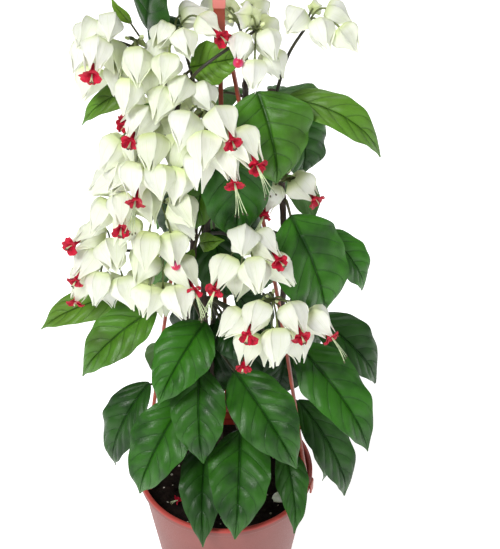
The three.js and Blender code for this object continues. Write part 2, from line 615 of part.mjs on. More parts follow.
const leafNodes = [...new Set(LEAVES.map(({ node }) => node))];
leafNodes.forEach((node) => {
  const rows = LEAVES.filter((leaf) => leaf.node === node);
  const root = stalkRoot(rows[0].stem, rows[0].at, rows.map(({ base }) => vec(base)), LEAF.petioleHalf);
  const blades = rows.map((row) => makeLeaf(root, row, LEAVES.indexOf(row)));
  place(node, blades.length > 1 ? fuse(blades) : blades[0], darkLeaf);
});
SPRAYS.forEach((spray) => place(spray.node, makeSpray(spray), whiteCalyx));

export default plant;
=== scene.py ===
"""Bleeding heart vine in its hanging pot: fine leaves, flowers, stems, pot, hanger and soil in
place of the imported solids, with their materials, a plain stage and a camera.

Laid out as an add-on and run as a script. Shapes are worked out in millimetres and enter their
meshes in metres."""

import itertools
import math

import bpy
import numpy as np
from bpy.props import FloatProperty, FloatVectorProperty, IntProperty, PointerProperty
from bpy.types import Operator, Panel, PropertyGroup
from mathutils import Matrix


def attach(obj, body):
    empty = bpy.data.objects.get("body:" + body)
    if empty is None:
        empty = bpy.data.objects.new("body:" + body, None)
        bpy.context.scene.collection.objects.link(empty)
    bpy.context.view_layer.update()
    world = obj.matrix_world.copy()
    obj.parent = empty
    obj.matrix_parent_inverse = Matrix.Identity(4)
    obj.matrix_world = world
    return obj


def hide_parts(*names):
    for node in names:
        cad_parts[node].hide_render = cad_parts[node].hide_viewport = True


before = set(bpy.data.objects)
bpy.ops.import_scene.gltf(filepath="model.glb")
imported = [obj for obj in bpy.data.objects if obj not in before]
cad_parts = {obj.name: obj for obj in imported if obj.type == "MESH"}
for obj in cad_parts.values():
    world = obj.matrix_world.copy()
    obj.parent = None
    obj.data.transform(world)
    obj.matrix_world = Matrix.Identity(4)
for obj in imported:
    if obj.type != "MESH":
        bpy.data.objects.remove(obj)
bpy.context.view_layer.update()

bl_info = {
    "name": "Bleeding Heart Vine",
    "version": (1, 0, 0),
    "blender": (4, 5, 0),
    "location": "3D View > Sidebar > Vine",
    "description": "Dresses the packed vine, pot and hanger with fine meshes and materials",
    "category": "Add Mesh",
}

MM = 0.001
GAP = 0.35  # clearance between separate solids that touch
SHARP = math.radians(48)  # an edge whose faces turn by more stays sharp
UP = np.array([0, 0, 1.0])
SEEDS = dict(leaf=700, dents=70, spray=300, lumps=41, fallen=17, crumbs=(3, 4, 5))

# ---------------------------------------------------------------- sizes and places

POT = dict(height=130, rim=75, lip_height=7, lip_stand=2.6, base=53.5, wall=2.5, floor=3,
           drain=4, drain_circle=36, drains=6)
SLOPE = 0.1537  # how far the pot's wall leans out for its height
# The soil's height, its mound, the sides of its ring, and how many lumps and specks lie on it,
# with their radii.
SOIL = dict(level=114, mound=5, sides=150, lumps=(120, 0.9, 2.3), specks=(70, 0.5, 1.15))
# Widths are level and square to the arm or strap, the hook's turn is in degrees, and the lug is
# the short square bar from the hub towards an arm.
HANGER = dict(hub_z=523, hub_radius=8, hub_height=10, arm_width=3.4, arm_thick=2.4, arm_bow=3,
              strap_width=9, strap_thick=3.2, strap_step=571, strap_top=626, hook_radius=14,
              hook_turn=205, clip_width=9, clip_wall=1.8, clip_drop=9, lug=5.2)
ARM_AZIMUTHS = {"left": 195, "right": 345, "back": 90}

# Stems: node, radius, route from the root up.
STEMS = (
    ("stem_left", 2.6, ((-22, 8, 82), (-22, 8, 122), (-25, 8, 190), (-30, 4, 290),
                        (-22, 6, 370), (-21, 6, 415), (-31, 4, 470), (-33, 2, 518))),
    ("stem_middle", 2.4, ((-4, 14, 82), (-4, 14, 122), (-8, 16, 200), (-16, 12, 300),
                          (-12, 14, 380), (-12, 12, 440), (-12, 8, 496))),
    ("stem_right", 2.4, ((20, 12, 82), (20, 12, 122), (30, 13, 190), (44, 8, 280),
                         (48, 2, 350), (45, 0, 415), (43, -2, 470), (36, -4, 508))),
    ("stem_back", 2.4, ((-4, 36, 82), (-4, 36, 122), (-12, 48, 190), (-7, 56, 280),
                        (8, 46, 380), (17, 35, 460), (18, 26, 500))),
)
BACK_STEM = 3  # leaves on this stem look to the back, all others to the front
# How far round a joint a stem swells; how much thicker it is at the soil, and between which
# heights that ends; how much thinner above, and between which heights that comes; its sides.
STEM = dict(joint=3.2, foot=(0.22, 112, 140), top=(0.12, 380, 520), sides=16)

# How far a leaf's face turns outwards, to the front and to the sky. Its form: arch and droop as
# parts of its length; fold, wave, puff and the margin's two swellings of its half width; ripple
# and dents of its width; and how far its midrib sinks and how thick it is. The width of a usual
# blade, and those below which it is small, with fewer points, or a shoot's, with its own tone.
LEAF = dict(outward=0.4, front=0.55, skyward=0.6, arch=0.15, droop=0.05, fold=0.16, wave=0.13,
            puff=0.11, margin=(0.035, 0.02), ripple=0.022, dents=0.014, sink=0.55, midrib=0.9,
            usual=42, small=20, shoot=8, shoot_tone=0.6)
# A leaf's stalk: half its thickness at the bark, its radius in the joint, where it starts and
# where it ends, and how much slimmer a small one is.
PETIOLE = dict(root=1.3, joint=1.0, start=1.25, end=0.95, small=0.7)
VEIN_CURVE = (0.14, 0.13)  # how far a side vein climbs, by |s| and by s squared

# Leaves: node, stem, height where the stalks leave it, tone, and each blade's base, tip, width
# and, where it isn't the usual one, arch as a part of the length. The tone is how far a leaf is
# from the usual green: up to 1, a lighter yellower green, partly a young leaf's own colour and
# partly painted light on upper leaves, and down to -1, a near black green painted as shade.
LEAVES = (
    ("leaf_front_low_left", 0, 318, -0.15, ((-14, -18, 307), (-51, -62, 261), 46)),
    ("leaf_front_low_mid", 1, 275, -0.42, ((-19, -22, 263), (-17, -66, 199), 45)),
    ("leaf_front_low_right", 1, 268, -0.3, ((9, -22, 259), (59, -70, 198), 50)),
    ("leaf_left_low", 0, 244, -0.25, ((-31, -26, 233), (-71, -62, 160), 49)),
    ("leaf_front_pot", 1, 214, -0.42, ((13, -30, 202), (9, -92, 139), 51)),
    ("leaf_front_pot_left", 0, 196, -0.6, ((-15, -22, 183), (-18, -90, 128), 38)),
    ("leaf_right_pot", 2, 178, -0.45, ((48, -14, 168), (59, -68, 120), 28)),
    ("leaf_right_low", 2, 276, -0.2, ((58, 0, 268), (119, -45, 193), 49)),
    ("leaf_right_low_dark", 2, 214, -0.65, ((61, 8, 200), (105, -20, 113), 38)),
    ("leaf_right_low_back", 2, 176, -0.6, ((66, 26, 166), (88, 14, 96), 22)),
    ("leaves_right_back", 2, 290, -0.5, ((74, 25, 276), (128, 12, 216), 42),
     ((55, 38, 286), (74, 42, 218), 40)),
    ("leaf_left_low_dark", 0, 230, -0.5, ((-63, 12, 216), (-97, -8, 138), 40)),
    ("leaf_left_mid_long", 0, 322, 0.4, ((-70, 20, 307), (-148, 4, 283), 32)),
    ("leaf_left_mid", 0, 332, 0.26, ((-52, -6, 312), (-114, -28, 260), 39)),
    ("leaves_inner_low", 1, 306, -0.8, ((0, -14, 300), (22, -38, 282), 30),
     ((8, 32, 298), (28, 32, 230), 42), ((-20, 30, 294), (-24, 34, 226), 40)),
    ("leaves_inner_mid", 1, 422, -0.65, ((2, 20, 418), (24, 16, 352), 44, 0.1),
     ((-24, 24, 410), (-42, 28, 350), 36)),
    ("leaf_right_mid", 2, 412, 0.08, ((51, -5, 400), (80, -20, 314), 60, 0.1)),
    ("leaves_right_curl", 2, 376, 0, ((78, 18, 368), (112, 12, 315), 32),
     ((34, 24, 366), (24, 30, 296), 42)),
    ("leaf_middle", 1, 486, -0.35, ((10, -12, 484), (11, -30, 393), 50, 0.08)),
    ("leaf_middle_left", 1, 452, 0.2, ((-6, -8, 456), (-20, -20, 398), 38, 0.1)),
    ("leaf_top_mid", 2, 506, 0.08, ((26, -9, 510), (41, -39, 453), 63, 0.12)),
    ("leaf_top_mid_back", 2, 488, -0.1, ((54, 28, 473), (57, 21, 415), 44)),
    ("leaf_right_top", 2, 498, 0.28, ((46, 12, 492), (118, 0, 451), 30, 0.24)),
    ("leaf_top_pale", 0, 512, 0.35, ((-20, -10, 530), (17, -14, 541), 24, 0.08)),
    ("leaves_top_dark", 0, 515, -0.7, ((-50, 14, 547), (-30, 4, 634), 40, 0.06),
     ((-50, 24, 528), (-24, 28, 545), 26)),
    ("leaves_left_top", 0, 492, 0.3, ((-48, 8, 506), (-100, -4, 481), 23, 0.2),
     ((-41, 8, 480), (-62, 2, 486), 16)),
    ("leaves_mid_small", 1, 385, 0.5, ((-17, -4, 374), (1, -14, 384), 15),
     ((-22, -2, 366), (-27, -8, 348), 9)),
    ("leaf_back_centre", 3, 344, 0, ((4, 66, 344), (-2, 94, 280), 46)),
    ("leaves_back_low", 3, 205, 0, ((-30, 62, 205), (-64, 100, 140), 50),
     ((18, 55, 207), (60, 100, 140), 50)),
    ("leaves_back_mid", 3, 288, 0, ((-24, 80, 287), (-70, 106, 228), 50),
     ((16, 79, 289), (66, 106, 236), 50)),
    ("leaves_back_upper", 3, 392, 0, ((-16, 54, 390), (-56, 80, 330), 46),
     ((32, 54, 392), (74, 78, 334), 46)),
    ("leaves_back_top", 3, 478, 0, ((2, 42, 480), (-10, 80, 424), 44),
     ((38, 34, 484), (76, 58, 440), 42)),
)

# Blades that no solid stands for, grown from the joints of their nodes: the small olive shoot
# beside the top leaf, and shaded ones that fill the dark middle of the plant.
EXTRA_BLADES = {
    "leaves_top_dark": (((-62, 14, 552), (-74, 8, 573), 7, 0.06),),
    "leaves_inner_low": (((-2, 24, 283), (18, 6, 231), 50), ((31, 30, 271), (11, 14, 213), 50),
        ((50, 22, 254), (36, 8, 198), 38), ((-16, 26, 246), (-25, 20, 195), 36),
        ((-5, 32, 264), (-8, 25, 186), 44), ((36, 38, 242), (43, 32, 178), 42)),
    "leaves_inner_mid": (((-7, 22, 369), (2, 14, 303), 40),),
}

# Blades broader than usual on one side or on both: their right and left half widths, as parts
# of the usual.
LOPSIDED = {"leaf_top_mid": (1.0, 1.32), "leaf_right_mid": (1.0, 1.25), "leaf_middle": (1.0, 1.15),
            "leaves_top_dark": (1.2, 1.2), "leaf_top_pale": (1.25, 1.25)}

# What a calyx carries: nothing yet, a corolla, a corolla with long stamens, a round bud; or the
# whole flower is still young and small.
SHUT, OPEN, LONG, BUD, YOUNG = range(5)

# A calyx's length, radius and the half angle of a lobe, which meets its neighbours' keels; how
# far along it the middle and the start of the tips are, how much it hangs down, and the size of
# a young one.
CALYX = dict(length=27, radius=10.8, lobe=math.radians(36.8), middle=0.42, tips=0.55, hang=0.75,
             young=0.55)
# How far a calyx's lobes part, by what it carries; a shut one's is drawn between two values.
GAPES = {SHUT: (0.02, 0.42), OPEN: 0.5, LONG: 0.55, BUD: 0.3, YOUNG: 0.0}
FIFTH = math.radians(36)  # from the middle of a pentagon's side to its corner
# Along the calyx's axis and out from it, as parts of its length and its radius.
CALYX_PROFILE = ((0.07, 0.07), (0, 0.26), (-0.03, 0.52), (0, 0.77), (0.09, 0.94), (0.22, 1.01),
                 (0.38, 1), (0.52, 0.87), (0.66, 0.62), (0.78, 0.36), (0.89, 0.17), (1, 0.05))
# How far beyond the calyx the stamens leave a corolla, its lobes, its tube, how far it turns to
# the front, or on a back spray to the back, and the angle at which a lobe leaves its axis.
COROLLA = dict(reach=1.5, lobe=9.4, tube=9, face=0.7, leave=math.radians(20))
# Lengths of the stamens, and the radii of a round bud, of a spray's hub and of its stalks.
STAMENS = {"short": 6, "long": 22, "fallen": 9}
BUD_RADIUS = 3.6
STALK = dict(hub=2.2, peduncle=1.3, pedicel=0.75)
BACK_SPRAYS = ("spray_back_left", "spray_back_right", "spray_back_top")
ROOM = 21  # the least distance between the middles of two calyces
SETTLE_STEPS = 40

# Sprays: node, stem, height where the peduncle leaves it, a point that bends it, the hub that
# the flower stalks spread from, size, and each calyx's middle measured from the hub, with what
# it carries unless it is shut.
SPRAYS = (
    ("spray_top_left", 0, 504, (-58, 14, 530), (-80, 14, 540), 0.9, ((-9, -28, 18), (7, -36, 26),
        (-16, -22, -3), (-2, -44, 13, OPEN), (5, -28, 0), (-9, -30, -18))),
    ("spray_top_left_low", 0, 494, (-50, -6, 526), (-58, 0, 545), 0.9, ((2, -28, -2), (-4, -32, -23),
        (-14, -14, -22), (8, -18, -26))),
    ("spray_top_mid", 1, 494, (-24, 8, 530), (-30, 6, 547), 0.8, ((-8, -20, 9), (6, -26, 7),
        (-5, -36, -6), (-14, -14, -8), (12, 4, 14), (24, -22, 18, OPEN))),
    ("spray_top_right", 0, 500, (-12, -28, 540), (25, -8, 558), 0.8, ((-11, -22, -1, BUD), (-1, -30, -17),
        (9, -14, -3), (12, -8, -22), (-6, 12, 4))),
    ("spray_far_right", 2, 504, (48, 8, 530), (61, 6, 555), 0.8, ((-10, -14, 9), (21, -4, 10),
        (27, -20, 0), (9, -22, 5), (6, 8, 9, YOUNG))),
    ("spray_under_top", 1, 488, (-17, 5, 500), (-22, 5, 508), 0.85, ((11, -33, 9), (-5, -35, 14),
        (-19, -30, 6))),
    ("spray_upper", 1, 470, (-3, -8, 486), (-11, -18, 501), 1, ((-10, -34, 2), (12, -38, 9, OPEN),
        (2, -40, -3), (-5, -30, -27), (13, -36, -17, LONG), (27, -39, -5, LONG), (-19, -24, -45),
        (-22, -18, -23))),
    ("spray_left_upper", 0, 458, (-44, -2, 476), (-49, -8, 485), 1, ((-7, -22, 12, OPEN), (6, -34, -4),
        (-9, -20, -14), (-26, -14, -24), (-11, -36, -24, LONG), (5, -46, -20), (12, -14, 3, YOUNG))),
    ("spray_left_mid", 0, 417, (-46, 0, 420), (-67, -6, 428), 1, ((-18, -10, 8), (-3, -34, 6, OPEN),
        (-21, -20, -12), (12, -28, 2), (-6, -22, 24))),
    ("spray_left_low", 0, 398, (-36, 0, 408), (-45, -18, 422), 1, ((19, -28, 12), (16, -16, -13),
        (-6, -30, -19), (10, -22, -20, BUD), (-24, -20, -12))),
    ("spray_left_bottom", 0, 356, (-58, 4, 360), (-86, -4, 367), 1, ((-13, -12, 24, OPEN), (5, -30, 17),
        (-15, -18, 1, OPEN), (-20, -14, -20, OPEN), (-6, -30, -12), (-2, -10, -30), (13, -32, -15))),
    ("spray_mid_low", 0, 370, (-42, 0, 374), (-44, -20, 377), 1, ((-12, -30, -22), (-1, -10, -38),
        (12, -32, -19), (-14, -14, -2), (15, -22, -4, LONG), (-20, 4, -33))),
    ("spray_front", 1, 372, (4, -10, 386), (17, -30, 387), 1, ((-15, -28, 1, LONG), (-1, -26, 26),
        (16, -18, 17, OPEN), (8, -40, 8), (26, -20, -3), (-4, -14, -20))),
    ("spray_front_low", 1, 330, (18, -12, 340), (38, -32, 341), 1, ((-29, -26, -2), (-12, -40, 15, OPEN),
        (16, -30, 6, OPEN), (34, -16, -10, LONG), (-19, -30, -22, OPEN), (0, -16, -33), (19, -18, -27),
        (4, -48, -4))),
    ("spray_right", 2, 430, (45, -8, 434), (46, -10, 436), 0.9, ((14, -2, -5, OPEN),
        (-11, -8, -10, LONG))),
    ("spray_back_left", 3, 440, (-10, 58, 446), (-34, 62, 448), 1, ((-26, -4, 0, OPEN), (-16, 20, 4),
        (6, 24, -2), (-18, 8, -22), (-4, 22, -26, OPEN), (-30, -12, -22))),
    ("spray_back_right", 3, 412, (28, 58, 418), (42, 66, 426), 1, ((24, 2, 4), (12, 24, 4, OPEN),
        (-8, 26, -2), (24, 10, -20), (4, 26, -24, OPEN))),
    ("spray_back_top", 3, 494, (18, 36, 520), (12, 38, 540), 0.9, ((-20, 8, 2), (-8, 24, -6, OPEN),
        (14, 22, -2), (22, 4, -10))),
)

# Fallen on the soil: a calyx lobe and a spent corolla, each with its place and its turn.
FALLEN = {"calyx": ((48, -28, 118.2), 35), "corolla": ((-39, -31, 118.6), 200)}

# Lights: name, place, aim, size across in metres, watts.
LIGHTS = (
    ("key", (-0.9, -1.5, 2.2), (0, 0, 0.35), 0.9, 60),
    ("fill", (1.7, -1.1, 1.3), (0, 0, 0.3), 1.8, 7),
    ("back", (0.4, 1.6, 1.9), (0, 0, 0.35), 1.6, 14),
)
SKY = dict(light=0.35, seen=0.65)  # its strength as a light, and what the camera sees beyond that
FLOOR = 6  # half its width, in metres
CAMERA = dict(place=(0.021, -0.9, 1.046), tilt=51.9, focal_pixels=1473, image=(500, 549), sensor=36,
              reach=50)
NOISE = (0.3, 0.7)  # the range that most of a noise's values lie in


# ---------------------------------------------------------------- values a user would change

def linear(code):
    """Linear colour from six hexadecimal digits of a screen colour, by the screen's curve."""
    screen = np.array([int(code[i:i + 2], 16) for i in (0, 2, 4)]) / 255
    return tuple(float(c) for c in np.where(screen < 0.04045, screen / 12.92,
                                            ((screen + 0.055) / 1.055) ** 2.4))


def length_property(name, description, default, low, high):
    """A length, written in millimetres and kept in metres."""
    return FloatProperty(name=name, description=description, unit="LENGTH", precision=5,
                         default=default * MM, min=low * MM, max=high * MM)


def colour_property(name, description, code):
    """A base colour, written in hexadecimal digits and kept linear."""
    return FloatVectorProperty(name=name, description=description, subtype="COLOR", size=3,
                               default=linear(code), min=0, max=1)


class VineSizes(PropertyGroup):
    """Sizes of the fine forms."""

    blade_thickness: length_property(
        "Blade thickness", "Thickness of a leaf beside its midrib", 0.6, 0.2, 1.5)
    quilting: length_property("Quilting", "Height of a leaf's bulges between side veins", 1.5, 0, 3)
    sepal_thickness: length_property("Sepal thickness", "Thickness of a calyx lobe", 0.45, 0.2, 1)
    crumb_height: length_property("Crumb height", "Height of the soil's crumbs", 2.2, 0, 5)
    stem_swelling: length_property(
        "Joint swelling", "How much a stem swells where stalks leave it", 0.75, 0, 2)
    side_veins: IntProperty(
        name="Side veins", description="Side veins on each half of a leaf", default=6, min=3, max=12)


class VineColours(PropertyGroup):
    """Base colours of the finishes."""

    leaf_dark: colour_property("Leaf, shaded", "Darkest green of a full-grown leaf", "113a08")
    leaf_mid: colour_property("Leaf", "Usual green of a full-grown leaf", "2f6c0d")
    # Painted shade: the near black green drawn on leaves that lie in shadow.
    leaf_painted_shade: colour_property("Leaf, old", "Near black green of a shaded leaf", "0a220a")
    # Partly a young leaf's own yellower green, partly painted light on upper leaves.
    leaf_young_and_painted_light: colour_property("Leaf, young", "Green of a young leaf", "7a9c34")
    leaf_under: colour_property("Leaf, underside", "Green of a leaf's underside", "5c8248")
    # Painted shade: the dark green drawn in the grooves of the sunken veins.
    vein: colour_property("Vein", "Colour of a leaf's sunken veins", "0d2e0b")
    stalk: colour_property("Flower stalk", "Green of flower stalks", "6f7a45")
    peduncle: colour_property("Peduncle", "Dark brown green of the sprays' main stalks", "33301c")
    petiole: colour_property("Leaf stalk", "Brownish green of leaf stalks", "4b4a26")
    calyx: colour_property("Calyx", "Cream white of the calyces", "f8fbe6")
    calyx_base: colour_property("Calyx, base", "Yellow green at a calyx's base", "d6e69a")
    corolla: colour_property("Corolla", "Crimson of the corollas", "ba042e")
    bud: colour_property("Bud", "Pink of the round buds", "c43a78")
    stamen: colour_property("Stamen", "Pale green of the filaments", "cfe0b0")
    anther: colour_property("Anther", "Dark tip of a filament", "5b5a3a")
    bark: colour_property("Bark", "Dark brown of the stems", "2a1b12")
    pot: colour_property("Pot", "Terracotta pink of the pot", "834842")
    # Painted light: the top of the pot's lip drawn a brighter red where light falls on it.
    pot_lip_painted_light: colour_property("Pot, lip", "Brighter red of the pot's lip", "a23c34")
    # Painted shade: the inside of the pot drawn a deep red.
    pot_inside_painted_shade: colour_property("Pot, inside", "Deep red inside the pot", "8a2a20")
    hanger: colour_property("Hanger", "Rust red of the hanger", "a8452f")
    # Painted light: the strap above its step drawn lighter, as where light falls on it.
    strap: colour_property("Strap", "Lighter red of the strap's upper part", "d9807a")
    soil: colour_property("Soil", "Near black of the potting soil", "160d09")
    perlite: colour_property("Perlite", "Pale specks in the soil", "c9c2b4")
    floor: colour_property("Floor", "Pale studio floor", "ffffff")


def size(name):
    """One of the sizes, in millimetres."""
    return getattr(bpy.context.scene.vine_sizes, name) / MM


def paint(name, factor=1.0, plus=0.0):
    """A base colour times a factor and a little raised, with its alpha, as node sockets want it."""
    return (*(factor * c + plus for c in getattr(bpy.context.scene.vine_colours, name)), 1.0)


# ---------------------------------------------------------------- shapes

def unit(v):
    """Vectors along the last axis, brought to length one."""
    v = np.asarray(v, float)
    return v / np.maximum(np.linalg.norm(v, axis=-1, keepdims=True), 1e-12)


def level(angle):
    """The level direction at that angle from the X axis."""
    return np.array([math.cos(angle), math.sin(angle), 0])


def beside(way):
    """The level direction a quarter turn from another."""
    return np.array([-way[1], way[0], 0])


def shift(amount, way):
    """Each amount of an array times a direction, or times its own direction."""
    return np.asarray(amount)[..., None] * way


def grid(rows, columns):
    """The values of t, 0 to 1 in a column, and of s, -1 to 1 in a row."""
    return np.linspace(0, 1, rows)[:, None], np.linspace(-1, 1, columns)[None, :]


def across(axis, near=(0.0, 0.0, 1.0)):
    """Two directions square to each axis: `near` less its part along the axis, and the cross
    product of the axis with that. An axis almost along `near` takes the X axis in its place."""
    axis = unit(axis)
    close = np.abs(axis @ np.asarray(near, float)) > 0.95
    aside = np.where(close[..., None], (1.0, 0.0, 0.0), near)
    u = unit(aside - axis * np.sum(aside * axis, axis=-1, keepdims=True))
    return u, np.cross(axis, u)


def spline(route, count):
    """Points of a curve through the route: between two knots a cubic whose end slopes come from
    the knots about it, each weighed by the square root of its distance."""
    knots = np.array(route, float)
    knots = np.vstack([2 * knots[0] - knots[1], knots, 2 * knots[-1] - knots[-2]])
    spans = np.sqrt(np.linalg.norm(np.diff(knots, axis=0), axis=1))[:, None]
    at = np.linspace(0, len(route) - 1, count)
    i = np.minimum(at.astype(int), len(route) - 2)
    w = (at - i)[:, None]
    a, b, c, d = (knots[i + k] for k in range(4))
    ab, bc, cd = (spans[i + k] for k in range(3))
    leave = bc * ((b - a) / ab - (c - a) / (ab + bc) + (c - b) / bc)
    arrive = bc * ((c - b) / bc - (d - b) / (bc + cd) + (d - c) / cd)
    square = -3 * b + 3 * c - 2 * leave - arrive
    return b + w * leave + w ** 2 * square + w ** 3 * (2 * b - 2 * c + leave + arrive)


def bend(start, pull, end, count):
    """Points of a curve from start to end, drawn towards `pull`: the three points weighed by
    (1 - t) squared, 2 t (1 - t) and t squared."""
    t = np.linspace(0, 1, count)[:, None]
    return (1 - t) ** 2 * np.asarray(start) + 2 * t * (1 - t) * np.asarray(pull) + t ** 2 * np.asarray(end)


def smooth(value, low, high):
    """0 below low, 1 above high, 3 w squared - 2 w cubed between."""
    w = np.clip((np.asarray(value, float) - low) / (high - low), 0, 1)
    return w * w * (3 - 2 * w)


def turns(sides):
    """Angles evenly about a full turn."""
    return np.linspace(0, 2 * math.pi, sides, endpoint=False)


def tube(path, radius, sides):
    """Rings of a round rod: at each point of the path a circle square to the path's slope."""
    path = np.asarray(path, float)
    u, v = across(np.gradient(path, axis=0), (0.28, 0.95, 0.09))
    angle = turns(sides)[:, None]
    circle = np.cos(angle) * u[:, None] + np.sin(angle) * v[:, None]
    return path[:, None] + np.broadcast_to(radius, len(path))[:, None, None] * circle


def lathe(profile, sides):
    """Rings about the Z axis, one for each radius and height of the profile."""
    profile = np.asarray(profile, float)[..., None, None]
    ring = np.stack([np.cos(turns(sides)), np.sin(turns(sides)), np.zeros(sides)], -1)
    return profile[:, 0] * ring + profile[:, 1] * UP


def ribbon(path, side, width, thick, sides=20):
    """Rings of a flat bar: at each point of the path a rounded rectangle, |x|^6 + |y|^6 = 1
    stretched to the width along `side` and to the thickness square to it and to the path."""
    path = np.asarray(path, float)
    side = unit(side)
    normal = unit(np.cross(side, np.gradient(path, axis=0)))
    x, y = (np.sign(c) * np.abs(c) ** (1 / 3) for c in (np.cos(turns(sides)), np.sin(turns(sides))))
    wide, deep = (0.5 * np.broadcast_to(a, len(path))[:, None, None] for a in (width, thick))
    return path[:, None] + wide * x[:, None] * side + deep * y[:, None] * normal[:, None]


# A loft is a tuple of its rings of points, the number of its finish, its UV and its marks, the
# values that its materials read, by name.

def sheet(skin, thick, s, t, paint_index=0, **marks):
    """A loft of a thin closed sheet: a grid of points moved half the thickness both ways along its
    normal, the cross product of its two slopes, with one side followed back by the other. Its
    UV is s, brought to 0 to 1, and t, and its lower side has the mark `under`."""
    shape = skin.shape[:2]
    normal = unit(np.cross(np.gradient(skin, axis=1), np.gradient(skin, axis=0)))
    lift = shift(0.5 * np.broadcast_to(thick, shape), normal)
    uv = np.stack(np.broadcast_arrays(0.5 + 0.5 * s, t), -1)
    both = {"under": np.repeat([[0.0, 1.0]], shape[0], axis=0).repeat(shape[1], axis=1)}
    for name, value in marks.items():
        one = np.broadcast_to(value, shape)
        both[name] = np.concatenate([one, one[:, ::-1]], axis=1)
    rings = np.concatenate([skin + lift, (skin - lift)[:, ::-1]], axis=1)
    return rings, paint_index, np.concatenate([uv, uv[:, ::-1]], axis=1), both


def solid_loft(rings, paint_index=0):
    """A loft of a rod or other round body, which has no marks and no map of its own."""
    rings = np.asarray(rings, float)
    return rings, paint_index, np.zeros((*rings.shape[:2], 2)), {}


def rod(path, radius, sides, paint_index=0):
    """A loft of a round rod along a path."""
    return solid_loft(tube(path, radius, sides), paint_index)


def ball(centre, axis, radius, length, rounds, sides, paint_index=0):
    """A loft of an egg: circles whose radius runs as the sine from pole to pole."""
    a = np.linspace(0.12, math.pi - 0.12, rounds)
    path = np.asarray(centre) + np.outer(-0.5 * length * np.cos(a), unit(axis))
    return rod(path, radius * np.sin(a), sides, paint_index)


def outward(rings):
    """Faces of a loft: quads from ring to ring and one flat face at each end, turned about if
    the volume they enclose, the sum of the triangles' triple products, is negative."""
    n, k = rings.shape[:2]
    at = np.arange(n * k).reshape(n, k)
    nxt = np.roll(at, -1, axis=1)
    quads = np.stack([at[:-1], nxt[:-1], nxt[1:], at[1:]], -1).reshape(-1, 4)
    ends = np.stack([at[0, ::-1], at[-1]])
    p = rings.reshape(-1, 3) - rings.reshape(-1, 3).mean(axis=0)
    fans = [(quads[:, 0], quads[:, 1], quads[:, 2]), (quads[:, 0], quads[:, 2], quads[:, 3])]
    fans += [(np.full(k - 2, end[0]), end[1:-1], end[2:]) for end in ends]
    if sum(np.sum(p[a] * np.cross(p[b], p[c])) for a, b, c in fans) < 0:
        return quads[:, ::-1], ends[:, ::-1]
    return quads, ends


def fill(items, field, values, kind=np.float32):
    """Sets one field of all of a mesh's items from an array."""
    items.foreach_set(field, np.asarray(values).astype(kind).ravel())


def build(name, lofts, finishes, nodes=()):
    """One object from lofts, in metres, with its finishes, its body, the nodes it replaces and
    its material slot."""
    points, corners, counts, paints, maps = [], [], [], [], []
    marks = {key: [] for key in sorted({key for loft in lofts for key in loft[3]})}
    total = 0
    for rings, paint_index, uv, values in lofts:
        quads, ends = outward(rings)
        points.append(rings.reshape(-1, 3))
        maps.append(uv.reshape(-1, 2))
        corners += [total + quads.ravel(), total + ends.ravel()]
        counts += [np.full(len(quads), 4), np.full(2, ends.shape[1])]
        paints.append(np.full(len(quads) + 2, paint_index))
        for key, kept in marks.items():
            kept.append(np.broadcast_to(values.get(key, 0.0), rings.shape[:2]).ravel())
        total += len(points[-1])
    points, corners, counts, paints, maps = map(np.concatenate, (points, corners, counts, paints, maps))
    mesh = bpy.data.meshes.new(name)
    mesh.vertices.add(len(points))
    mesh.loops.add(len(corners))
    mesh.polygons.add(len(counts))
    fill(mesh.vertices, "co", points * MM)
    fill(mesh.loops, "vertex_index", corners, np.int32)
    fill(mesh.polygons, "loop_start", np.cumsum(counts) - counts, np.int32)
    fill(mesh.polygons, "material_index", paints, np.int32)
    fill(mesh.polygons, "use_smooth", np.ones(len(counts)), bool)
    fill(mesh.uv_layers.new(name="UVMap").data, "uv", maps[corners])
    for key, kept in marks.items():
        fill(mesh.attributes.new(key, "FLOAT", "POINT").data, "value", np.concatenate(kept))
    mesh.update(calc_edges=True)
    mesh.set_sharp_from_angle(angle=SHARP)
    piece = bpy.data.objects.new(name, mesh)
    bpy.context.scene.collection.objects.link(piece)
    for finish_name in finishes:
        mesh.materials.append(finish(finish_name))
    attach(piece, "root")
    if nodes:
        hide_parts(*nodes)
    return piece


def rough_field(x, y, cell, seed):
    """Smooth random heights from -1 to 1: seeded numbers on a square grid of `cell`, blended
    between the four corners about each point with an S-shaped weight."""
    heights = np.random.default_rng(seed).uniform(-1, 1, (64, 64))
    fx, fy = np.asarray(x) / cell, np.asarray(y) / cell
    ix, iy = np.floor(fx).astype(int), np.floor(fy).astype(int)
    wx, wy = smooth(fx - ix, 0, 1), smooth(fy - iy, 0, 1)
    low, high = (heights[ix % 64, j % 64] * (1 - wx) + heights[(ix + 1) % 64, j % 64] * wx
                 for j in (iy, iy + 1))
    return low * (1 - wy) + high * wy


# ---------------------------------------------------------------- node helpers

def feed(tree, node, inputs):
    """Sets a node's sockets, by name or number, each to a value or to another node's output."""
    for socket, value in inputs.items():
        if isinstance(value, bpy.types.NodeSocket):
            tree.links.new(value, node.inputs[socket])
        else:
            node.inputs[socket].default_value = value


def step(tree, kind, inputs=(), **settings):
    """Adds a node with its own settings, and feeds it."""
    made = tree.nodes.new(f"ShaderNode{kind}")
    for name, value in settings.items():
        setattr(made, name, value)
    feed(tree, made, dict(inputs))
    return made


def maths(tree, operation, *values):
    """The result of one Math node."""
    return step(tree, "Math", enumerate(values), operation=operation).outputs[0]


def times(tree, first, second, *plus):
    """Two values multiplied, and a third added where there is one."""
    return maths(tree, "MULTIPLY_ADD" if plus else "MULTIPLY", first, second, *plus)


def peak(tree, first, second):
    """The greater of two values."""
    return maths(tree, "MAXIMUM", first, second)


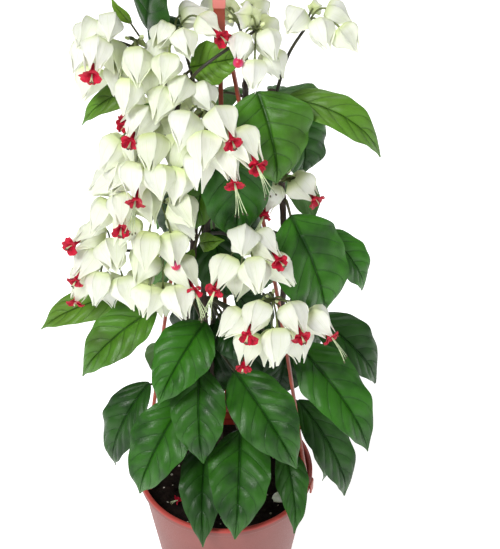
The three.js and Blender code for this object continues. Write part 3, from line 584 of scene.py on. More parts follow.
def between(tree, value, low, high, start=0.0, end=1.0):
    """A value eased from start to end as it goes from low to high."""
    inputs = {"Value": value, "From Min": low, "From Max": high, "To Min": start, "To Max": end}
    return step(tree, "MapRange", inputs, interpolation_type="SMOOTHSTEP").outputs["Result"]


def mixed(tree, factor, first, second):
    """A colour that goes from the first to the second as factor goes from 0 to 1."""
    return step(tree, "Mix", {0: factor, 6: first, 7: second}, data_type="RGBA").outputs[2]


def mark(tree, name):
    """The value of one of the mesh's own attributes."""
    return step(tree, "Attribute", attribute_name=name).outputs["Fac"]


def place(tree):
    """Object coordinates, in metres."""
    return step(tree, "TexCoord").outputs["Object"]


def own_map(tree):
    """The mesh's own UV."""
    return step(tree, "UVMap", uv_map="UVMap").outputs[0]


def split(tree, vector):
    """The X, Y and Z of a vector."""
    return step(tree, "SeparateXYZ", {0: vector}).outputs


def bump(tree, height, strength, distance):
    """A normal tilted by a height, with the height's scale in metres."""
    inputs = {"Height": height, "Strength": strength, "Distance": distance}
    return step(tree, "Bump", inputs).outputs["Normal"]


def shared(tree, name, inputs, maker):
    """Places the node group of that name with its input values. The first time it is made, with
    a float socket for each input and for each output that `maker` gives."""
    known = bpy.data.node_groups.get(name)
    if not known:
        known = bpy.data.node_groups.new(name, "ShaderNodeTree")
        for socket in inputs:
            known.interface.new_socket(name=socket, in_out="INPUT", socket_type="NodeSocketFloat")
        made = maker(known, known.nodes.new("NodeGroupInput").outputs)
        for socket in made:
            known.interface.new_socket(name=socket, in_out="OUTPUT", socket_type="NodeSocketFloat")
        feed(known, known.nodes.new("NodeGroupOutput"), made)
    return step(tree, "Group", inputs, node_tree=known).outputs


def mottle(tree, cloud_scale, grain_scale):
    """Cloudy unevenness in two scales: Cloud for colour, Grain for roughness and bump."""
    def maker(group, source):
        where = place(group)
        return {out: step(group, "TexNoise", {
            "Vector": where, "Scale": source[f"{out} Scale"], "Detail": 3.0, "Roughness": 0.6,
        }).outputs["Fac"] for out in ("Cloud", "Grain")}
    return shared(tree, "mottle", {"Cloud Scale": cloud_scale, "Grain Scale": grain_scale}, maker)


def vein_pattern(tree, side_veins, net_scale):
    """Pinnate veins on a blade's UV: s across from -1 to 1, t from base to tip. A side vein lies
    where t less the vein curve, times Side Veins, is whole; Net is the fine mesh between."""
    def maker(group, source):
        u, t, _ = split(group, own_map(group))
        s = maths(group, "ABSOLUTE", times(group, u, 2.0, -1.0))
        swell = maths(group, "POWER", maths(group, "SINE", times(group, t, 3.0)), 0.7)
        curve = times(group, s, times(group, s, VEIN_CURVE[1], VEIN_CURVE[0]))
        number = times(group, maths(group, "SUBTRACT", t, curve), source["Side Veins"])
        wide = between(group, s, 0.0, 1.0, 0.1, 0.04)
        away = maths(group, "DIVIDE", maths(group, "PINGPONG", number, 0.5), wide)
        cells = step(group, "TexVoronoi", {"Vector": place(group), "Scale": source["Net Scale"]},
                     feature="DISTANCE_TO_EDGE")
        return {"Midrib": between(group, times(group, s, swell), 0.015, 0.055, 1.0, 0.0),
                "Veins": times(group, between(group, away, 0.2, 1.0, 1.0, 0.0),
                               between(group, s, 0.86, 1.0, 1.0, 0.2)),
                "Net": between(group, cells.outputs["Distance"], 0.0, 0.14, 1.0, 0.0)}
    return shared(tree, "pinnate_veins", {"Side Veins": side_veins, "Net Scale": net_scale}, maker)


def finish(name):
    """The material of that name, made the first time. Its maker fills its tree and gives the
    values of the Principled BSDF."""
    known = bpy.data.materials.get(name)
    if not known:
        known = bpy.data.materials.new(name)
        known.use_nodes = True
        tree = known.node_tree
        feed(tree, tree.nodes["Principled BSDF"], MAKERS[name](tree))
    return known


# ---------------------------------------------------------------- finishes

def leaf_blade(tree):
    """Glossy green with sunken veins above, drawn darker as painted shade in their grooves; matt and
    paler beneath. Its mark `tone` turns it above 0 to a lighter green, partly a young leaf's own
    and partly painted light, and below 0 to a near black green painted as shade."""
    veins = vein_pattern(tree, float(bpy.context.scene.vine_sizes.side_veins), 620.0)
    cloud = mottle(tree, 32.0, 800.0)
    tone, under = mark(tree, "tone"), mark(tree, "under")
    grown = mixed(tree, between(tree, cloud["Cloud"], 0.25, 0.6), paint("leaf_dark"), paint("leaf_mid"))
    # Tone above 0: lighter green, partly young leaves' own and partly painted light; below 0: painted shade.
    young = mixed(tree, peak(tree, tone, 0.0), grown, paint("leaf_young_and_painted_light"))
    green = mixed(tree, peak(tree, times(tree, tone, -1.0), 0.0), young, paint("leaf_painted_shade"))
    # Painted shade: midrib, side veins and fine net drawn darker, as shade in their sunken grooves.
    drawn = peak(tree, times(tree, veins["Midrib"], 0.6), times(tree, veins["Veins"], 0.32))
    groove_shaded = mixed(tree, times(tree, veins["Net"], 0.1, drawn), green, paint("vein"))
    relief = times(tree, veins["Net"], 0.12, times(tree, veins["Veins"], 0.7, veins["Midrib"]))
    signed = times(tree, relief, times(tree, under, 2.0, -1.0))
    gloss = between(tree, cloud["Grain"], *NOISE, 0.32, 0.44)
    return {"Base Color": mixed(tree, times(tree, under, 0.85), groove_shaded, paint("leaf_under")),
            "Roughness": times(tree, under, 0.25, gloss), "Specular IOR Level": 0.28,
            "Normal": bump(tree, times(tree, cloud["Grain"], 0.12, signed), 0.6, 0.0007)}


def green_stalk(name):
    """Maker of a stalk's finish: its base colour clouded darker, slightly rough."""
    def maker(tree):
        cloud = mottle(tree, 90.0, 1400.0)
        tone = mixed(tree, between(tree, cloud["Cloud"], 0.35, 0.65), paint(name, 0.45), paint(name))
        return {"Base Color": tone, "Roughness": 0.55, "Normal": bump(tree, cloud["Grain"], 0.3, 0.0002)}
    return maker


def calyx_lobe(tree):
    """Cream white that greens towards the stalk, along the lobe's middle rib and all over while
    it is fresh, with faint long veins."""
    cloud = mottle(tree, 60.0, 900.0)
    s = split(tree, own_map(tree))["X"]
    wave = maths(tree, "SINE", times(tree, s, 28.0))
    lines = maths(tree, "POWER", maths(tree, "ABSOLUTE", wave), 6.0)
    base = between(tree, mark(tree, "along"), -0.02, 0.3, 1.0, 0.0)
    aside = maths(tree, "ABSOLUTE", maths(tree, "SUBTRACT", s, 0.5))
    rib = peak(tree, between(tree, aside, 0.0, 0.05, 0.25, 0.0), times(tree, lines, 0.08))
    tinted = times(tree, mark(tree, "fresh"), 0.4, peak(tree, times(tree, base, 0.75), rib))
    tone = mixed(tree, times(tree, cloud["Cloud"], 0.06, tinted), paint("calyx"), paint("calyx_base"))
    return {"Base Color": tone, "Roughness": between(tree, cloud["Grain"], *NOISE, 0.5, 0.62),
            "Subsurface Weight": 0.6, "Subsurface Radius": (1.0, 1.0, 0.8), "Subsurface Scale": 0.004,
            "Normal": bump(tree, times(tree, lines, 0.35, cloud["Grain"]), 0.3, 0.0003)}


def petal(tree):
    """Velvety crimson, deeper in clouds."""
    cloud = mottle(tree, 260.0, 1500.0)
    tone = mixed(tree, between(tree, cloud["Cloud"], 0.3, 0.6), paint("corolla", 0.45), paint("corolla"))
    return {"Base Color": tone, "Roughness": between(tree, cloud["Grain"], *NOISE, 0.5, 0.68),
            "Specular IOR Level": 0.3, "Normal": bump(tree, cloud["Cloud"], 0.5, 0.0005)}


def round_bud(tree):
    """Pink that deepens in clouds."""
    cloud = mottle(tree, 180.0, 1200.0)
    tone = mixed(tree, between(tree, cloud["Cloud"], 0.35, 0.7), paint("bud"), paint("corolla"))
    return {"Base Color": tone, "Roughness": 0.42, "Normal": bump(tree, cloud["Grain"], 0.3, 0.0002)}


def bark(tree):
    """Dark brown bark with grey lengthwise cracks, drawn from noise stretched along Z."""
    where = step(tree, "Mapping", {"Vector": place(tree), "Scale": (1.0, 1.0, 0.12)})
    inputs = {"Vector": where.outputs[0], "Scale": 900.0, "Detail": 4.0}
    cracks = step(tree, "TexNoise", inputs).outputs["Fac"]
    cloud = mottle(tree, 70.0, 1600.0)
    tone = mixed(tree, between(tree, cracks, 0.42, 0.75), paint("bark"), paint("bark", 2.6, 0.01))
    return {"Base Color": tone, "Roughness": between(tree, cloud["Cloud"], *NOISE, 0.6, 0.85),
            "Normal": bump(tree, times(tree, cloud["Grain"], 0.4, cracks), 0.8, 0.0008)}


def pot_plastic(tree):
    """Moulded plastic: a pink wall, the lip's top painted a brighter red as light falling on it, the
    inside painted deep red as shade, and darker brown towards the foot. Inside is where a point lies further
    in than the wall's outer face."""
    cloud = mottle(tree, 18.0, 1300.0)
    x, y, z = split(tree, place(tree))
    reach = maths(tree, "SQRT", times(tree, x, x, times(tree, y, y)))
    depth = maths(tree, "SUBTRACT", times(tree, z, SLOPE, POT["base"] * MM), reach)
    # Painted shade: inside the wall, below the lip's top, the colour turns deep red.
    inside = times(tree, between(tree, depth, 0.0012, 0.0018), between(tree, z, 0.1285, 0.1296, 1.0, 0.0))
    shade = between(tree, cloud["Cloud"], 0.3, 0.8, 0.45, 0.0)
    body = mixed(tree, shade, paint("pot"), paint("pot", 0.7))
    # Painted light: above this height the lip's top turns a brighter red.
    outside = mixed(tree, between(tree, z, 0.1268, 0.1284), body, paint("pot_lip_painted_light"))
    # Darker brown towards the foot, in clouds.
    foot_darkening = times(tree, between(tree, z, 0.0, 0.05, 0.25, 0.0), cloud["Cloud"])
    foot_darkened = mixed(tree, foot_darkening, outside, (0.09, 0.05, 0.035, 1.0))
    return {"Base Color": mixed(tree, inside, foot_darkened, paint("pot_inside_painted_shade")),
            "Roughness": between(tree, cloud["Grain"], *NOISE, 0.4, 0.58),
            "Specular IOR Level": 0.35, "Normal": bump(tree, cloud["Grain"], 0.18, 0.0003)}


def hanger_plastic(tree):
    """Rust red moulded plastic; the strap above its step painted lighter as light falling on it."""
    cloud = mottle(tree, 45.0, 1400.0)
    low = mixed(tree, between(tree, cloud["Cloud"], *NOISE), paint("hanger", 0.62), paint("hanger"))
    # Painted light: lighter red on the strap above its step.
    upper = between(tree, split(tree, place(tree))["Z"],
                    *((HANGER["strap_step"] + a) * MM for a in (-0.5, 0.5)))
    return {"Base Color": mixed(tree, upper, low, paint("strap")),
            "Roughness": between(tree, cloud["Grain"], *NOISE, 0.36, 0.52),
            "Normal": bump(tree, cloud["Grain"], 0.15, 0.0003)}


def potting_soil(tree):
    """Near black crumbs, browner and drier in clouds."""
    cloud = mottle(tree, 160.0, 1500.0)
    tone = mixed(tree, between(tree, cloud["Cloud"], 0.45, 0.75), paint("soil"), paint("soil", 2.8, 0.004))
    height = times(tree, cloud["Cloud"], 0.7, cloud["Grain"])
    return {"Base Color": tone, "Roughness": between(tree, cloud["Cloud"], *NOISE, 0.75, 0.98),
            "Specular IOR Level": 0.15, "Normal": bump(tree, height, 0.9, 0.0015)}


def perlite(tree):
    """Pale porous specks."""
    cloud = mottle(tree, 900.0, 2600.0)
    tone = mixed(tree, between(tree, cloud["Cloud"], 0.35, 0.6), paint("perlite", 0.4), paint("perlite"))
    return {"Base Color": tone, "Roughness": 0.9, "Normal": bump(tree, cloud["Cloud"], 0.7, 0.0006)}


def studio_floor(tree):
    """Plain matt white, a little bright of its own."""
    tone = mixed(tree, mottle(tree, 3.0, 200.0)["Cloud"], paint("floor", 0.985), paint("floor"))
    return {"Base Color": tone, "Roughness": 0.95, "Emission Color": tone, "Emission Strength": 0.6}


MAKERS = {
    "leaf_blade": leaf_blade, "leaf_stalk": green_stalk("petiole"), "calyx_lobe": calyx_lobe,
    "flower_stalk": green_stalk("stalk"), "peduncle": green_stalk("peduncle"), "petal": petal,
    "filament": green_stalk("stamen"), "anther": green_stalk("anther"), "round_bud": round_bud,
    "bark": bark, "pot_plastic": pot_plastic, "hanger_plastic": hanger_plastic,
    "potting_soil": potting_soil, "perlite": perlite, "studio_floor": studio_floor,
}
# The finishes of a flower's white and coloured lofts, in the order of their numbers.
WHITE = ("calyx_lobe", "flower_stalk", "peduncle")
BRIGHT = ("petal", "filament", "anther", "round_bud")


# ---------------------------------------------------------------- stems, joints and leaves

def stalk_root(stem, z, ends, half):
    """Where stalks of that half thickness leave a stem towards `ends`: on the bark, along the
    level sum of their ways, further off where they are steep or part widely. Also the point of
    the stem's middle line there."""
    _, radius, route = STEMS[stem]
    line = spline(route, 700)
    middle = np.array([*(np.interp(z, line[:, 2], line[:, axis]) for axis in (0, 1)), z])
    ways = unit(np.asarray(ends, float) - middle)
    out = unit(ways.sum(axis=0) * (1, 1, 0))
    dip = half * (0.15 + 0.9 * np.abs(ways[:, 2]).max())
    spread = np.linalg.norm(np.cross(out, unit(ways * (1, 1, 0))), axis=1).max()
    return middle + out * (radius + GAP + dip + half * spread), middle


def blade_width(t):
    """Half width along the blade: the sine of pi t^0.72, to the power 0.85, drawn in near the
    end to a drip tip."""
    oval = np.sin(math.pi * np.clip(t, 0, 1) ** 0.72).clip(0) ** 0.85
    return oval * (1 - 0.3 * smooth(t, 0.84, 0.96))


def leaf_lofts(node, stem, tone, root, inside, blade, index):
    """A leaf's blade and its stalk.

    The blade at (s, t), s across from -1 to 1 and t from base to tip, lies on the line from base
    to tip, raised by 4 t (1 - t) times its arch less the droop of its tip, and moved s half
    widths sideways, the half width swelling and shrinking by two sines. It is lifted by
    |s| half widths times fold and wave, puffed by the sine of pi |s|, rippled along the margin
    by |s|^3 and dented by the rough field. Between two side veins it bulges by the sine of pi
    times the vein number, and it sinks along the midrib, where it is thickest."""
    base, tip, width, arch = (*blade, LEAF["arch"])[:4]
    luck = np.random.default_rng(SEEDS["leaf"] + index)
    base, tip = np.array(base, float), np.array(tip, float)
    length = np.linalg.norm(tip - base)
    along = unit(tip - base)
    front = LEAF["front"] if stem == BACK_STEM else -LEAF["front"]
    face = LEAF["outward"] * unit(0.5 * (base + tip) * (1, 1, 0)) + np.array([0, front, LEAF["skyward"]])
    up = unit(face - along * (face @ along))
    side = np.cross(along, up)
    small = width < LEAF["small"]
    t, s = grid(26, 13) if small else grid(60, 25)
    t = t ** 1.06
    far = np.abs(s)
    half = np.maximum(0.5 * width * blade_width(t), np.where(t < 0.5, 1.3 * smooth(t, -0.1, 0.03), 0.35))
    half = half * np.where(s > 0, *reversed(LOPSIDED.get(node, (1.0, 1.0))))
    broad, fine = LEAF["margin"]
    margin = broad * np.sin(13 * t + 9 * np.sign(s) + 2 * index) + fine * np.sin(31 * t - 7 * np.sign(s))
    half = half * (1 + margin * far * smooth(t, 0.05, 0.25) * (1 - smooth(t, 0.8, 0.97)))
    edge = np.where(s < 0, np.sin(9 * t + index), np.sin(8 * t + 2 * index + 1))
    lift = half * (LEAF["fold"] * far ** 0.9 + LEAF["wave"] * edge * far ** 1.5)
    lift = lift + half * LEAF["puff"] * np.sin(math.pi * far)
    lift = lift + LEAF["ripple"] * width * far ** 3 * np.sin(21 * t + 5 * luck.uniform() + 2 * s)
    dents = rough_field(length * t + 40, s * half, 9, SEEDS["dents"] + index)
    lift = lift + LEAF["dents"] * width * dents
    number = (t - VEIN_CURVE[0] * far - VEIN_CURVE[1] * s ** 2) * bpy.context.scene.vine_sizes.side_veins
    fade = smooth(far, 0.02, 0.2) * (1 - smooth(far, 0.78, 1)) * smooth(t, 0.02, 0.14)
    fade = fade * (1 - smooth(t, 0.8, 0.98))
    quilt = size("quilting") * min(1.0, width / LEAF["usual"])
    lift = lift + quilt * fade * (np.abs(np.sin(math.pi * number)) - 0.5)
    ridge = np.exp(-(s * half / 1.3) ** 2)
    lift = lift - LEAF["sink"] * ridge * smooth(t, 0.0, 0.1)
    droop = LEAF["droop"] * length * smooth(t, 0.72, 1.05) ** 1.5
    centre = base + shift(t, tip - base) + shift(4 * t * (1 - t) * arch * length - droop, up)
    skin = centre + shift(s * half, side) + shift(lift, up)
    thick = size("blade_thickness") * (1 - 0.45 * far) + LEAF["midrib"] * ridge * (1 - 0.75 * t)
    usual = LEAF["shoot_tone"] if width < LEAF["shoot"] else tone
    tone = np.clip(usual + luck.uniform(-0.08, 0.08), -1, 1)
    pull = 0.45 * root + 0.55 * base + up * 0.07 * np.linalg.norm(base - root)
    path = np.vstack([inside, bend(root, pull, base + along * 2.5, 14)])
    radius = np.concatenate([[PETIOLE["joint"]], np.linspace(PETIOLE["start"], PETIOLE["end"], 14)])
    radius = radius * (PETIOLE["small"] if small else 1)
    return [sheet(skin, thick, s, t, tone=tone), rod(path, radius, 8, 1)]


# ---------------------------------------------------------------- flowers

def settled():
    """Every calyx as node, hub, middle, size and state. Neighbours closer than ROOM times the
    smaller size push each other apart by a quarter of what they lack, in even steps."""
    rows = [(node, hub, scale, (*flower, SHUT)[:4])
            for node, _, _, _, hub, scale, flowers in SPRAYS for flower in flowers]
    hubs = np.array([row[1] for row in rows], float)
    scales = np.array([row[2] for row in rows], float)
    middles = hubs + np.array([row[3][:3] for row in rows], float)
    room = ROOM * np.minimum(scales[:, None], scales[None, :])
    for _ in range(SETTLE_STEPS):
        apart = middles[:, None] - middles[None, :]
        distance = np.linalg.norm(apart, axis=-1)
        np.fill_diagonal(distance, 1e9)
        lack = np.maximum(room - distance, 0)
        middles = middles + np.sum(shift(0.25 * lack / distance, apart), axis=1)
    return [(row[0], hub, middle, row[2], row[3][3]) for row, hub, middle in zip(rows, hubs, middles)]


def calyx_lofts(origin, axis, u, v, scale, state, luck):
    """Five lobes whose edges meet in outward keels, and the calyx's tip. Round the axis a lobe
    runs as a pentagon's side, the cosine of 36 degrees over the cosine of the angle from its
    middle, blown out between and pinched at the keels. Along it, it follows the profile, and
    beyond the girdle it gapes: its half angle shrinks as the profile's share of its distance
    from the axis, to the power 0.7, so its edges draw apart into a point of its own."""
    length = scale * CALYX["length"] * luck.uniform(0.87, 1.0)
    radius = scale * CALYX["radius"] * luck.uniform(0.9, 1.04)
    profile = spline([(*point, 0) for point in CALYX_PROFILE], 13)
    ahead, girth = profile[:, :1], profile[:, 1:2]
    gape = {**GAPES, SHUT: luck.uniform(*GAPES[SHUT])}[state]
    sway = luck.uniform(-0.13, 0.13, 2) * length
    aside = sway[0] * u + sway[1] * v
    turned = luck.uniform(-0.6, 0.6)
    winged = luck.uniform(0.1, 0.3)
    blown = luck.uniform(-0.03, 0.08)
    fresh = 1 if state == YOUNG else luck.uniform(0, 1) ** 2
    s = np.linspace(-1, 1, 7)[None, :]
    lofts = []
    for j in range(5):
        tall = luck.uniform(0.92, 1.1)
        x = ahead * np.where(ahead > CALYX["tips"], tall, 1)
        parted = smooth(x, CALYX["tips"], 1.0)
        out = girth + (gape + luck.uniform(0.0, 0.1)) * parted * 0.75
        phi = s * CALYX["lobe"] * np.maximum(girth / out, 0.04) ** 0.7
        flat = math.cos(FIFTH) / np.cos(phi)
        puff = blown * (1 - (phi / FIFTH) ** 2) + 0.016 * np.exp(-(s / 0.12) ** 2)
        keel = winged * np.exp(-((1 - np.abs(s)) / 0.24) ** 2) * smooth(x, -0.02, 0.2)
        keel = keel * (1 - 0.7 * smooth(x, 0.4, 0.85))
        crease = 0.028 * np.sin(8 * x + 4 * s + luck.uniform(0, 6)) * smooth(x, 0.05, 0.3)
        angle = (2 * j + 1) * FIFTH + phi + turned
        round_about = shift(np.cos(angle), u) + shift(np.sin(angle), v)
        skin = origin + shift(x * length, axis) + shift(x ** 2, aside)
        skin = skin + shift(radius * out * (flat + puff + keel + crease), round_about)
        thick = size("sepal_thickness") * (1 - 0.5 * smooth(x, 0.5, 1.0))
        lofts.append(sheet(skin, thick, s, x, along=x, fresh=fresh))
    return lofts, origin + axis * (length - 0.5) + aside


def corolla_lofts(mouth, axis, u, v, luck, shrink=1.0):
    """A slim tube, a throat and five lobes. A lobe's middle line turns from its first angle off
    the axis to its own spread, its half width runs as a sine, and its sides cup by s squared
    and fold by a sine that grows to the end."""
    path = bend(mouth - axis * COROLLA["tube"], mouth - axis * 4, mouth + axis * 0.4, 7)
    lofts = [rod(path, np.linspace(0.9, 1.9, 7), 10),
             ball(mouth + axis * 0.3, axis, 2.6 * shrink, 2.4 * shrink, 6, 12)]
    t, s = grid(7, 5)
    for j in range(5):
        angle = math.radians(72 * j + 36 + luck.uniform(-12, 12))
        e = math.cos(angle) * u + math.sin(angle) * v
        turn = COROLLA["leave"] + (math.radians(luck.uniform(55, 125)) - COROLLA["leave"]) * t
        reach = COROLLA["lobe"] * luck.uniform(0.7, 0.98) * shrink
        ahead = np.cumsum(np.cos(turn), axis=0) * reach / len(t)
        out = 1.1 + np.cumsum(np.sin(turn), axis=0) * reach / len(t)
        half = 0.45 * reach * np.sin(math.pi * (0.12 + 0.76 * t)) ** 0.8
        cup = half * (luck.uniform(0.1, 0.55) * s ** 2 + luck.uniform(-0.25, 0.25) * s)
        fold = 0.5 * np.sin(5 * t + 3 * s + luck.uniform(0, 6)) * t
        normal = shift(np.cos(turn), -e) + shift(np.sin(turn), axis)
        skin = mouth + shift(ahead, axis) + shift(out, e) + shift(s * half, np.cross(axis, e))
        lofts.append(sheet(skin + shift(cup + fold, normal), 0.38, s, t))
    return lofts


def stamen_lofts(mouth, axis, v, length, luck):
    """Four filaments that leave the mouth together, arch over and end in small anthers."""
    lofts = []
    slim = 1 if length > 10 else 0.7
    for aside in (-1, -1 / 3, 1 / 3, 1):
        tip = mouth + axis * 0.95 * length * luck.uniform(0.88, 1.0) + v * 0.19 * length * aside
        tip = tip - UP * 0.2 * length + luck.uniform(-0.04, 0.04, 3) * length
        pull = mouth + axis * 0.6 * length + v * 0.04 * length * aside
        path = bend(mouth - axis * 2, pull, tip, 10)
        lofts.append(rod(path, np.linspace(0.36, 0.24, 10) * slim, 6, 1))
        lofts.append(ball(tip, unit(tip - path[-2]), 0.7 * slim, 2 * slim, 5, 8, 2))
    return lofts


def flower_lofts(bloom, luck):
    """The white and the coloured lofts of one flower: its stalk and calyx, and what it bears."""
    node, hub, middle, scale, state = bloom
    axis = unit(unit(middle - hub) - CALYX["hang"] * UP)
    scale = scale * (CALYX["young"] if state == YOUNG else 1)
    origin = middle - CALYX["middle"] * scale * CALYX["length"] * axis
    u, v = across(axis)
    white, tip = calyx_lofts(origin, axis, u, v, scale, state, luck)
    reach = np.linalg.norm(origin - hub)
    path = bend(hub, origin - axis * 0.4 * reach + (0, 0, 0.06 * reach), origin + axis * 1.5, 12)
    white.append(rod(path, STALK["pedicel"] * (1 + 0.6 * smooth(np.linspace(0, 1, 12), 0.8, 1)), 7, 1))
    bright = []
    if state in (OPEN, LONG):
        front = 1 if node in BACK_SPRAYS else -1
        gaze = unit(axis + COROLLA["face"] * np.array([0, front, 0.25]))
        bright += corolla_lofts(tip, gaze, *across(gaze), luck)
        length = STAMENS["long" if state == LONG else "short"]
        bright += stamen_lofts(tip + axis * COROLLA["reach"], axis, v, length, luck)
    if state == BUD:
        bright.append(ball(tip, axis, BUD_RADIUS, 2.1 * BUD_RADIUS, 11, 16, 3))
    return white, bright


def bract_lofts(hub, luck):
    """A knob at a hub, two narrow green bracts, whose half width runs as a sine and whose ends
    bow down by t squared, and three unopened flower buds on short stalks."""
    lofts = [ball(hub, UP, STALK["hub"] * 0.75, STALK["hub"] * 1.8, 7, 10, 1)]
    t, s = grid(8, 5)
    for j in range(2):
        e = level(luck.uniform(0, 2 * math.pi) + math.pi * j) + 0.35 * UP
        long = luck.uniform(8, 12)
        half = 0.23 * long * np.sin(math.pi * (0.1 + 0.85 * t)) ** 0.9
        skin = hub + shift(long * t, e) + shift(s * half, beside(e))
        skin = skin + shift(0.3 * s ** 2 * half - 3 * t ** 2, UP)
        lofts.append(sheet(skin, 0.4, s, t, 1))
    for _ in range(3):
        way = unit(np.append(luck.uniform(-1, 1, 2), luck.uniform(0.1, 0.9)))
        tip = hub + way * luck.uniform(4.5, 7.5)
        lofts.append(rod(bend(hub, hub + way * 3, tip, 5), 0.45, 6, 1))
        lofts.append(ball(tip, way, 1.25, 4.2, 7, 10))
    return lofts


# ---------------------------------------------------------------- pieces

def inner_radius(z):
    """The pot's inner radius at a height: a straight taper from the foot to below the lip, less
    the wall."""
    taper = (POT["rim"] - POT["lip_stand"] - POT["base"]) * z / (POT["height"] - POT["lip_height"])
    return POT["base"] + taper - POT["wall"]


class VINE_OT_pot(Operator):
    """Pot with a rounded lip and open drain holes"""
    bl_idname = "vine.pot"
    bl_label = "Pot"

    def execute(self, context):
        """Turns a profile about Z, from the foot up the wall, over the lip and down inside, and
        cuts the drain holes through its floor."""
        wall = [(POT["base"] + SLOPE * z + 0.05, z) for z in np.linspace(2, 121.5, 14)]
        inside = [(inner_radius(z), z) for z in np.linspace(120.5, 4.5, 14)]
        profile = [(1.5, 0.7), (44, 0.7), (46, 0.3), (47, 0), (52.3, 0), (53.3, 0.4), (53.75, 1.2), *wall,
                   (72.3, 122.3), (73, 122.7), (74.3, 122.9), (74.85, 123.4), (75, 124.2), (75, 128.4),
                   (74.75, 129.3), (74.1, 129.85), (73.2, 130), (72.3, 129.95), (71.6, 129.6), (71.2, 128.9),
                   (70.6, 125), (inner_radius(122) - 0.1, 122), *inside, (inner_radius(3) - 1.2, 3.3),
                   (inner_radius(3) - 2.2, 3), (1.5, 3)]
        piece = build("pot_shell", [solid_loft(lathe(profile, 144))], ("pot_plastic",), ("pot",))
        drains = []
        for i in range(POT["drains"]):
            spot = POT["drain_circle"] * level(math.radians(360 / POT["drains"] * (i + 0.5)))
            drains.append(rod(spot + np.outer([-6.0, 0.0, 9.0], UP), POT["drain"], 32))
        tool = build("pot_drains", drains, ())
        cut = piece.modifiers.new("drains", "BOOLEAN")
        cut.operation = "DIFFERENCE"
        cut.solver = "EXACT"
        cut.object = tool
        context.view_layer.objects.active = piece
        bpy.ops.object.modifier_apply(modifier=cut.name)
        bpy.data.objects.remove(tool, do_unlink=True)
        return {"FINISHED"}


class VINE_OT_hanger(Operator):
    """Hub, strap and hook, and three arms with clips over the pot's lip"""
    bl_idname = "vine.hanger"
    bl_label = "Hanger"

    def execute(self, context):
        """A turned hub, a strap that rises straight and curls over into the hook, narrower below
        its step and drawn in at its end, and a lug towards each arm."""
        low = HANGER["hub_z"] - 0.5 * HANGER["hub_height"]
        r = HANGER["hub_radius"]
        hub = lathe([(0.8, low), (r - 2.9, low), (r - 2.2, low + 0.3), (r - 1.9, low + 0.9),
                     (r - 0.3, low + 8.6), (r - 0.1, low + 9.2), (r - 0.5, low + 9.8),
                     (r - 1.1, low + 10), (0.8, low + 10)], 64)
        rise = np.linspace(HANGER["hub_z"] - 3, HANGER["strap_top"], 60)
        angle = np.linspace(math.pi, math.pi - math.radians(HANGER["hook_turn"]), 44)[1:]
        curl = HANGER["hook_radius"]
        y = np.concatenate([np.zeros(60), curl + curl * np.cos(angle)])
        z = np.concatenate([rise, HANGER["strap_top"] + curl * np.sin(angle)])
        path = np.stack([np.zeros(len(y)), y, z], -1)
        broad = smooth(z, HANGER["strap_step"] - 0.4, HANGER["strap_step"] + 0.8)
        wide = HANGER["strap_width"] * (0.88 + 0.12 * broad)
        thin = HANGER["strap_thick"] * (0.86 + 0.14 * broad)
        wide[-4:] *= (0.97, 0.9, 0.78, 0.55)
        thin[-2:] *= (0.9, 0.7)
        lofts = [solid_loft(hub), solid_loft(ribbon(path, (1, 0, 0), wide, thin))]
        for azimuth in ARM_AZIMUTHS.values():
            out = level(math.radians(azimuth))
            lug = HANGER["hub_z"] * UP + np.outer(np.linspace(4, r + 0.1, 6), out)
            lofts.append(solid_loft(ribbon(lug, beside(out), HANGER["lug"], HANGER["lug"])))
        build("hanger_top", lofts, ("hanger_plastic",), ("hanger_hook",))
        for where, azimuth in ARM_AZIMUTHS.items():
            self.arm(where, level(math.radians(azimuth)))
        return {"FINISHED"}

    def arm(self, where, out):
        """A bowed rod from the hub to the lip and a U-shaped clip, both ribbons."""
        side = beside(out)
        wall = HANGER["clip_wall"]
        top = POT["height"] + GAP
        outer = POT["rim"] + GAP
        low = POT["height"] - HANGER["clip_drop"]
        inner = inner_radius(low) - GAP - 1.2
        start = np.array([HANGER["hub_radius"] + GAP + 0.5 * HANGER["arm_thick"], HANGER["hub_z"]])
        end = np.array([0.5 * (outer + inner), top + 0.5 * wall])
        middle = 0.5 * (start + end) + (HANGER["arm_bow"], 0.5 * HANGER["arm_bow"])
        plan = spline([(p[0], 0, p[1]) for p in (start, middle, end)], 40)
        path = np.outer(plan[:, 0], out) + np.outer(plan[:, 2], UP)
        thick = HANGER["arm_thick"] * (1 + 0.25 * smooth(np.linspace(0, 1, 40), 0.9, 1.0))
        x0, x1, z1 = outer + 0.5 * wall, inner - 0.5 * wall, top + 0.5 * wall
        corner = np.linspace(0, 0.5 * math.pi, 6)
        bend_out = np.stack([x0 - 1 + np.cos(corner), z1 - 1 + np.sin(corner)], -1)
        bend_in = np.stack([x1 + 1 - np.sin(corner), z1 - 1 + np.cos(corner)], -1)
        line = np.vstack([(x0, low), (x0, low + 0.8), (x0, 0.5 * (low + z1)), bend_out, bend_in,
                          (x1, 0.5 * (low + z1)), (x1, low + 2.8), (x1, low + 2)])
        route = np.outer(line[:, 0], out) + np.outer(line[:, 1], UP)
        wide = np.full(len(line), float(HANGER["clip_width"]))
        wide[[0, -1]] *= 0.9
        lofts = [solid_loft(ribbon(path, side, HANGER["arm_width"], thick)),
                 solid_loft(ribbon(route, side, wide, wall))]
        build(f"hanger_arm_{where}_fine", lofts, ("hanger_plastic",), (f"hanger_arm_{where}",))


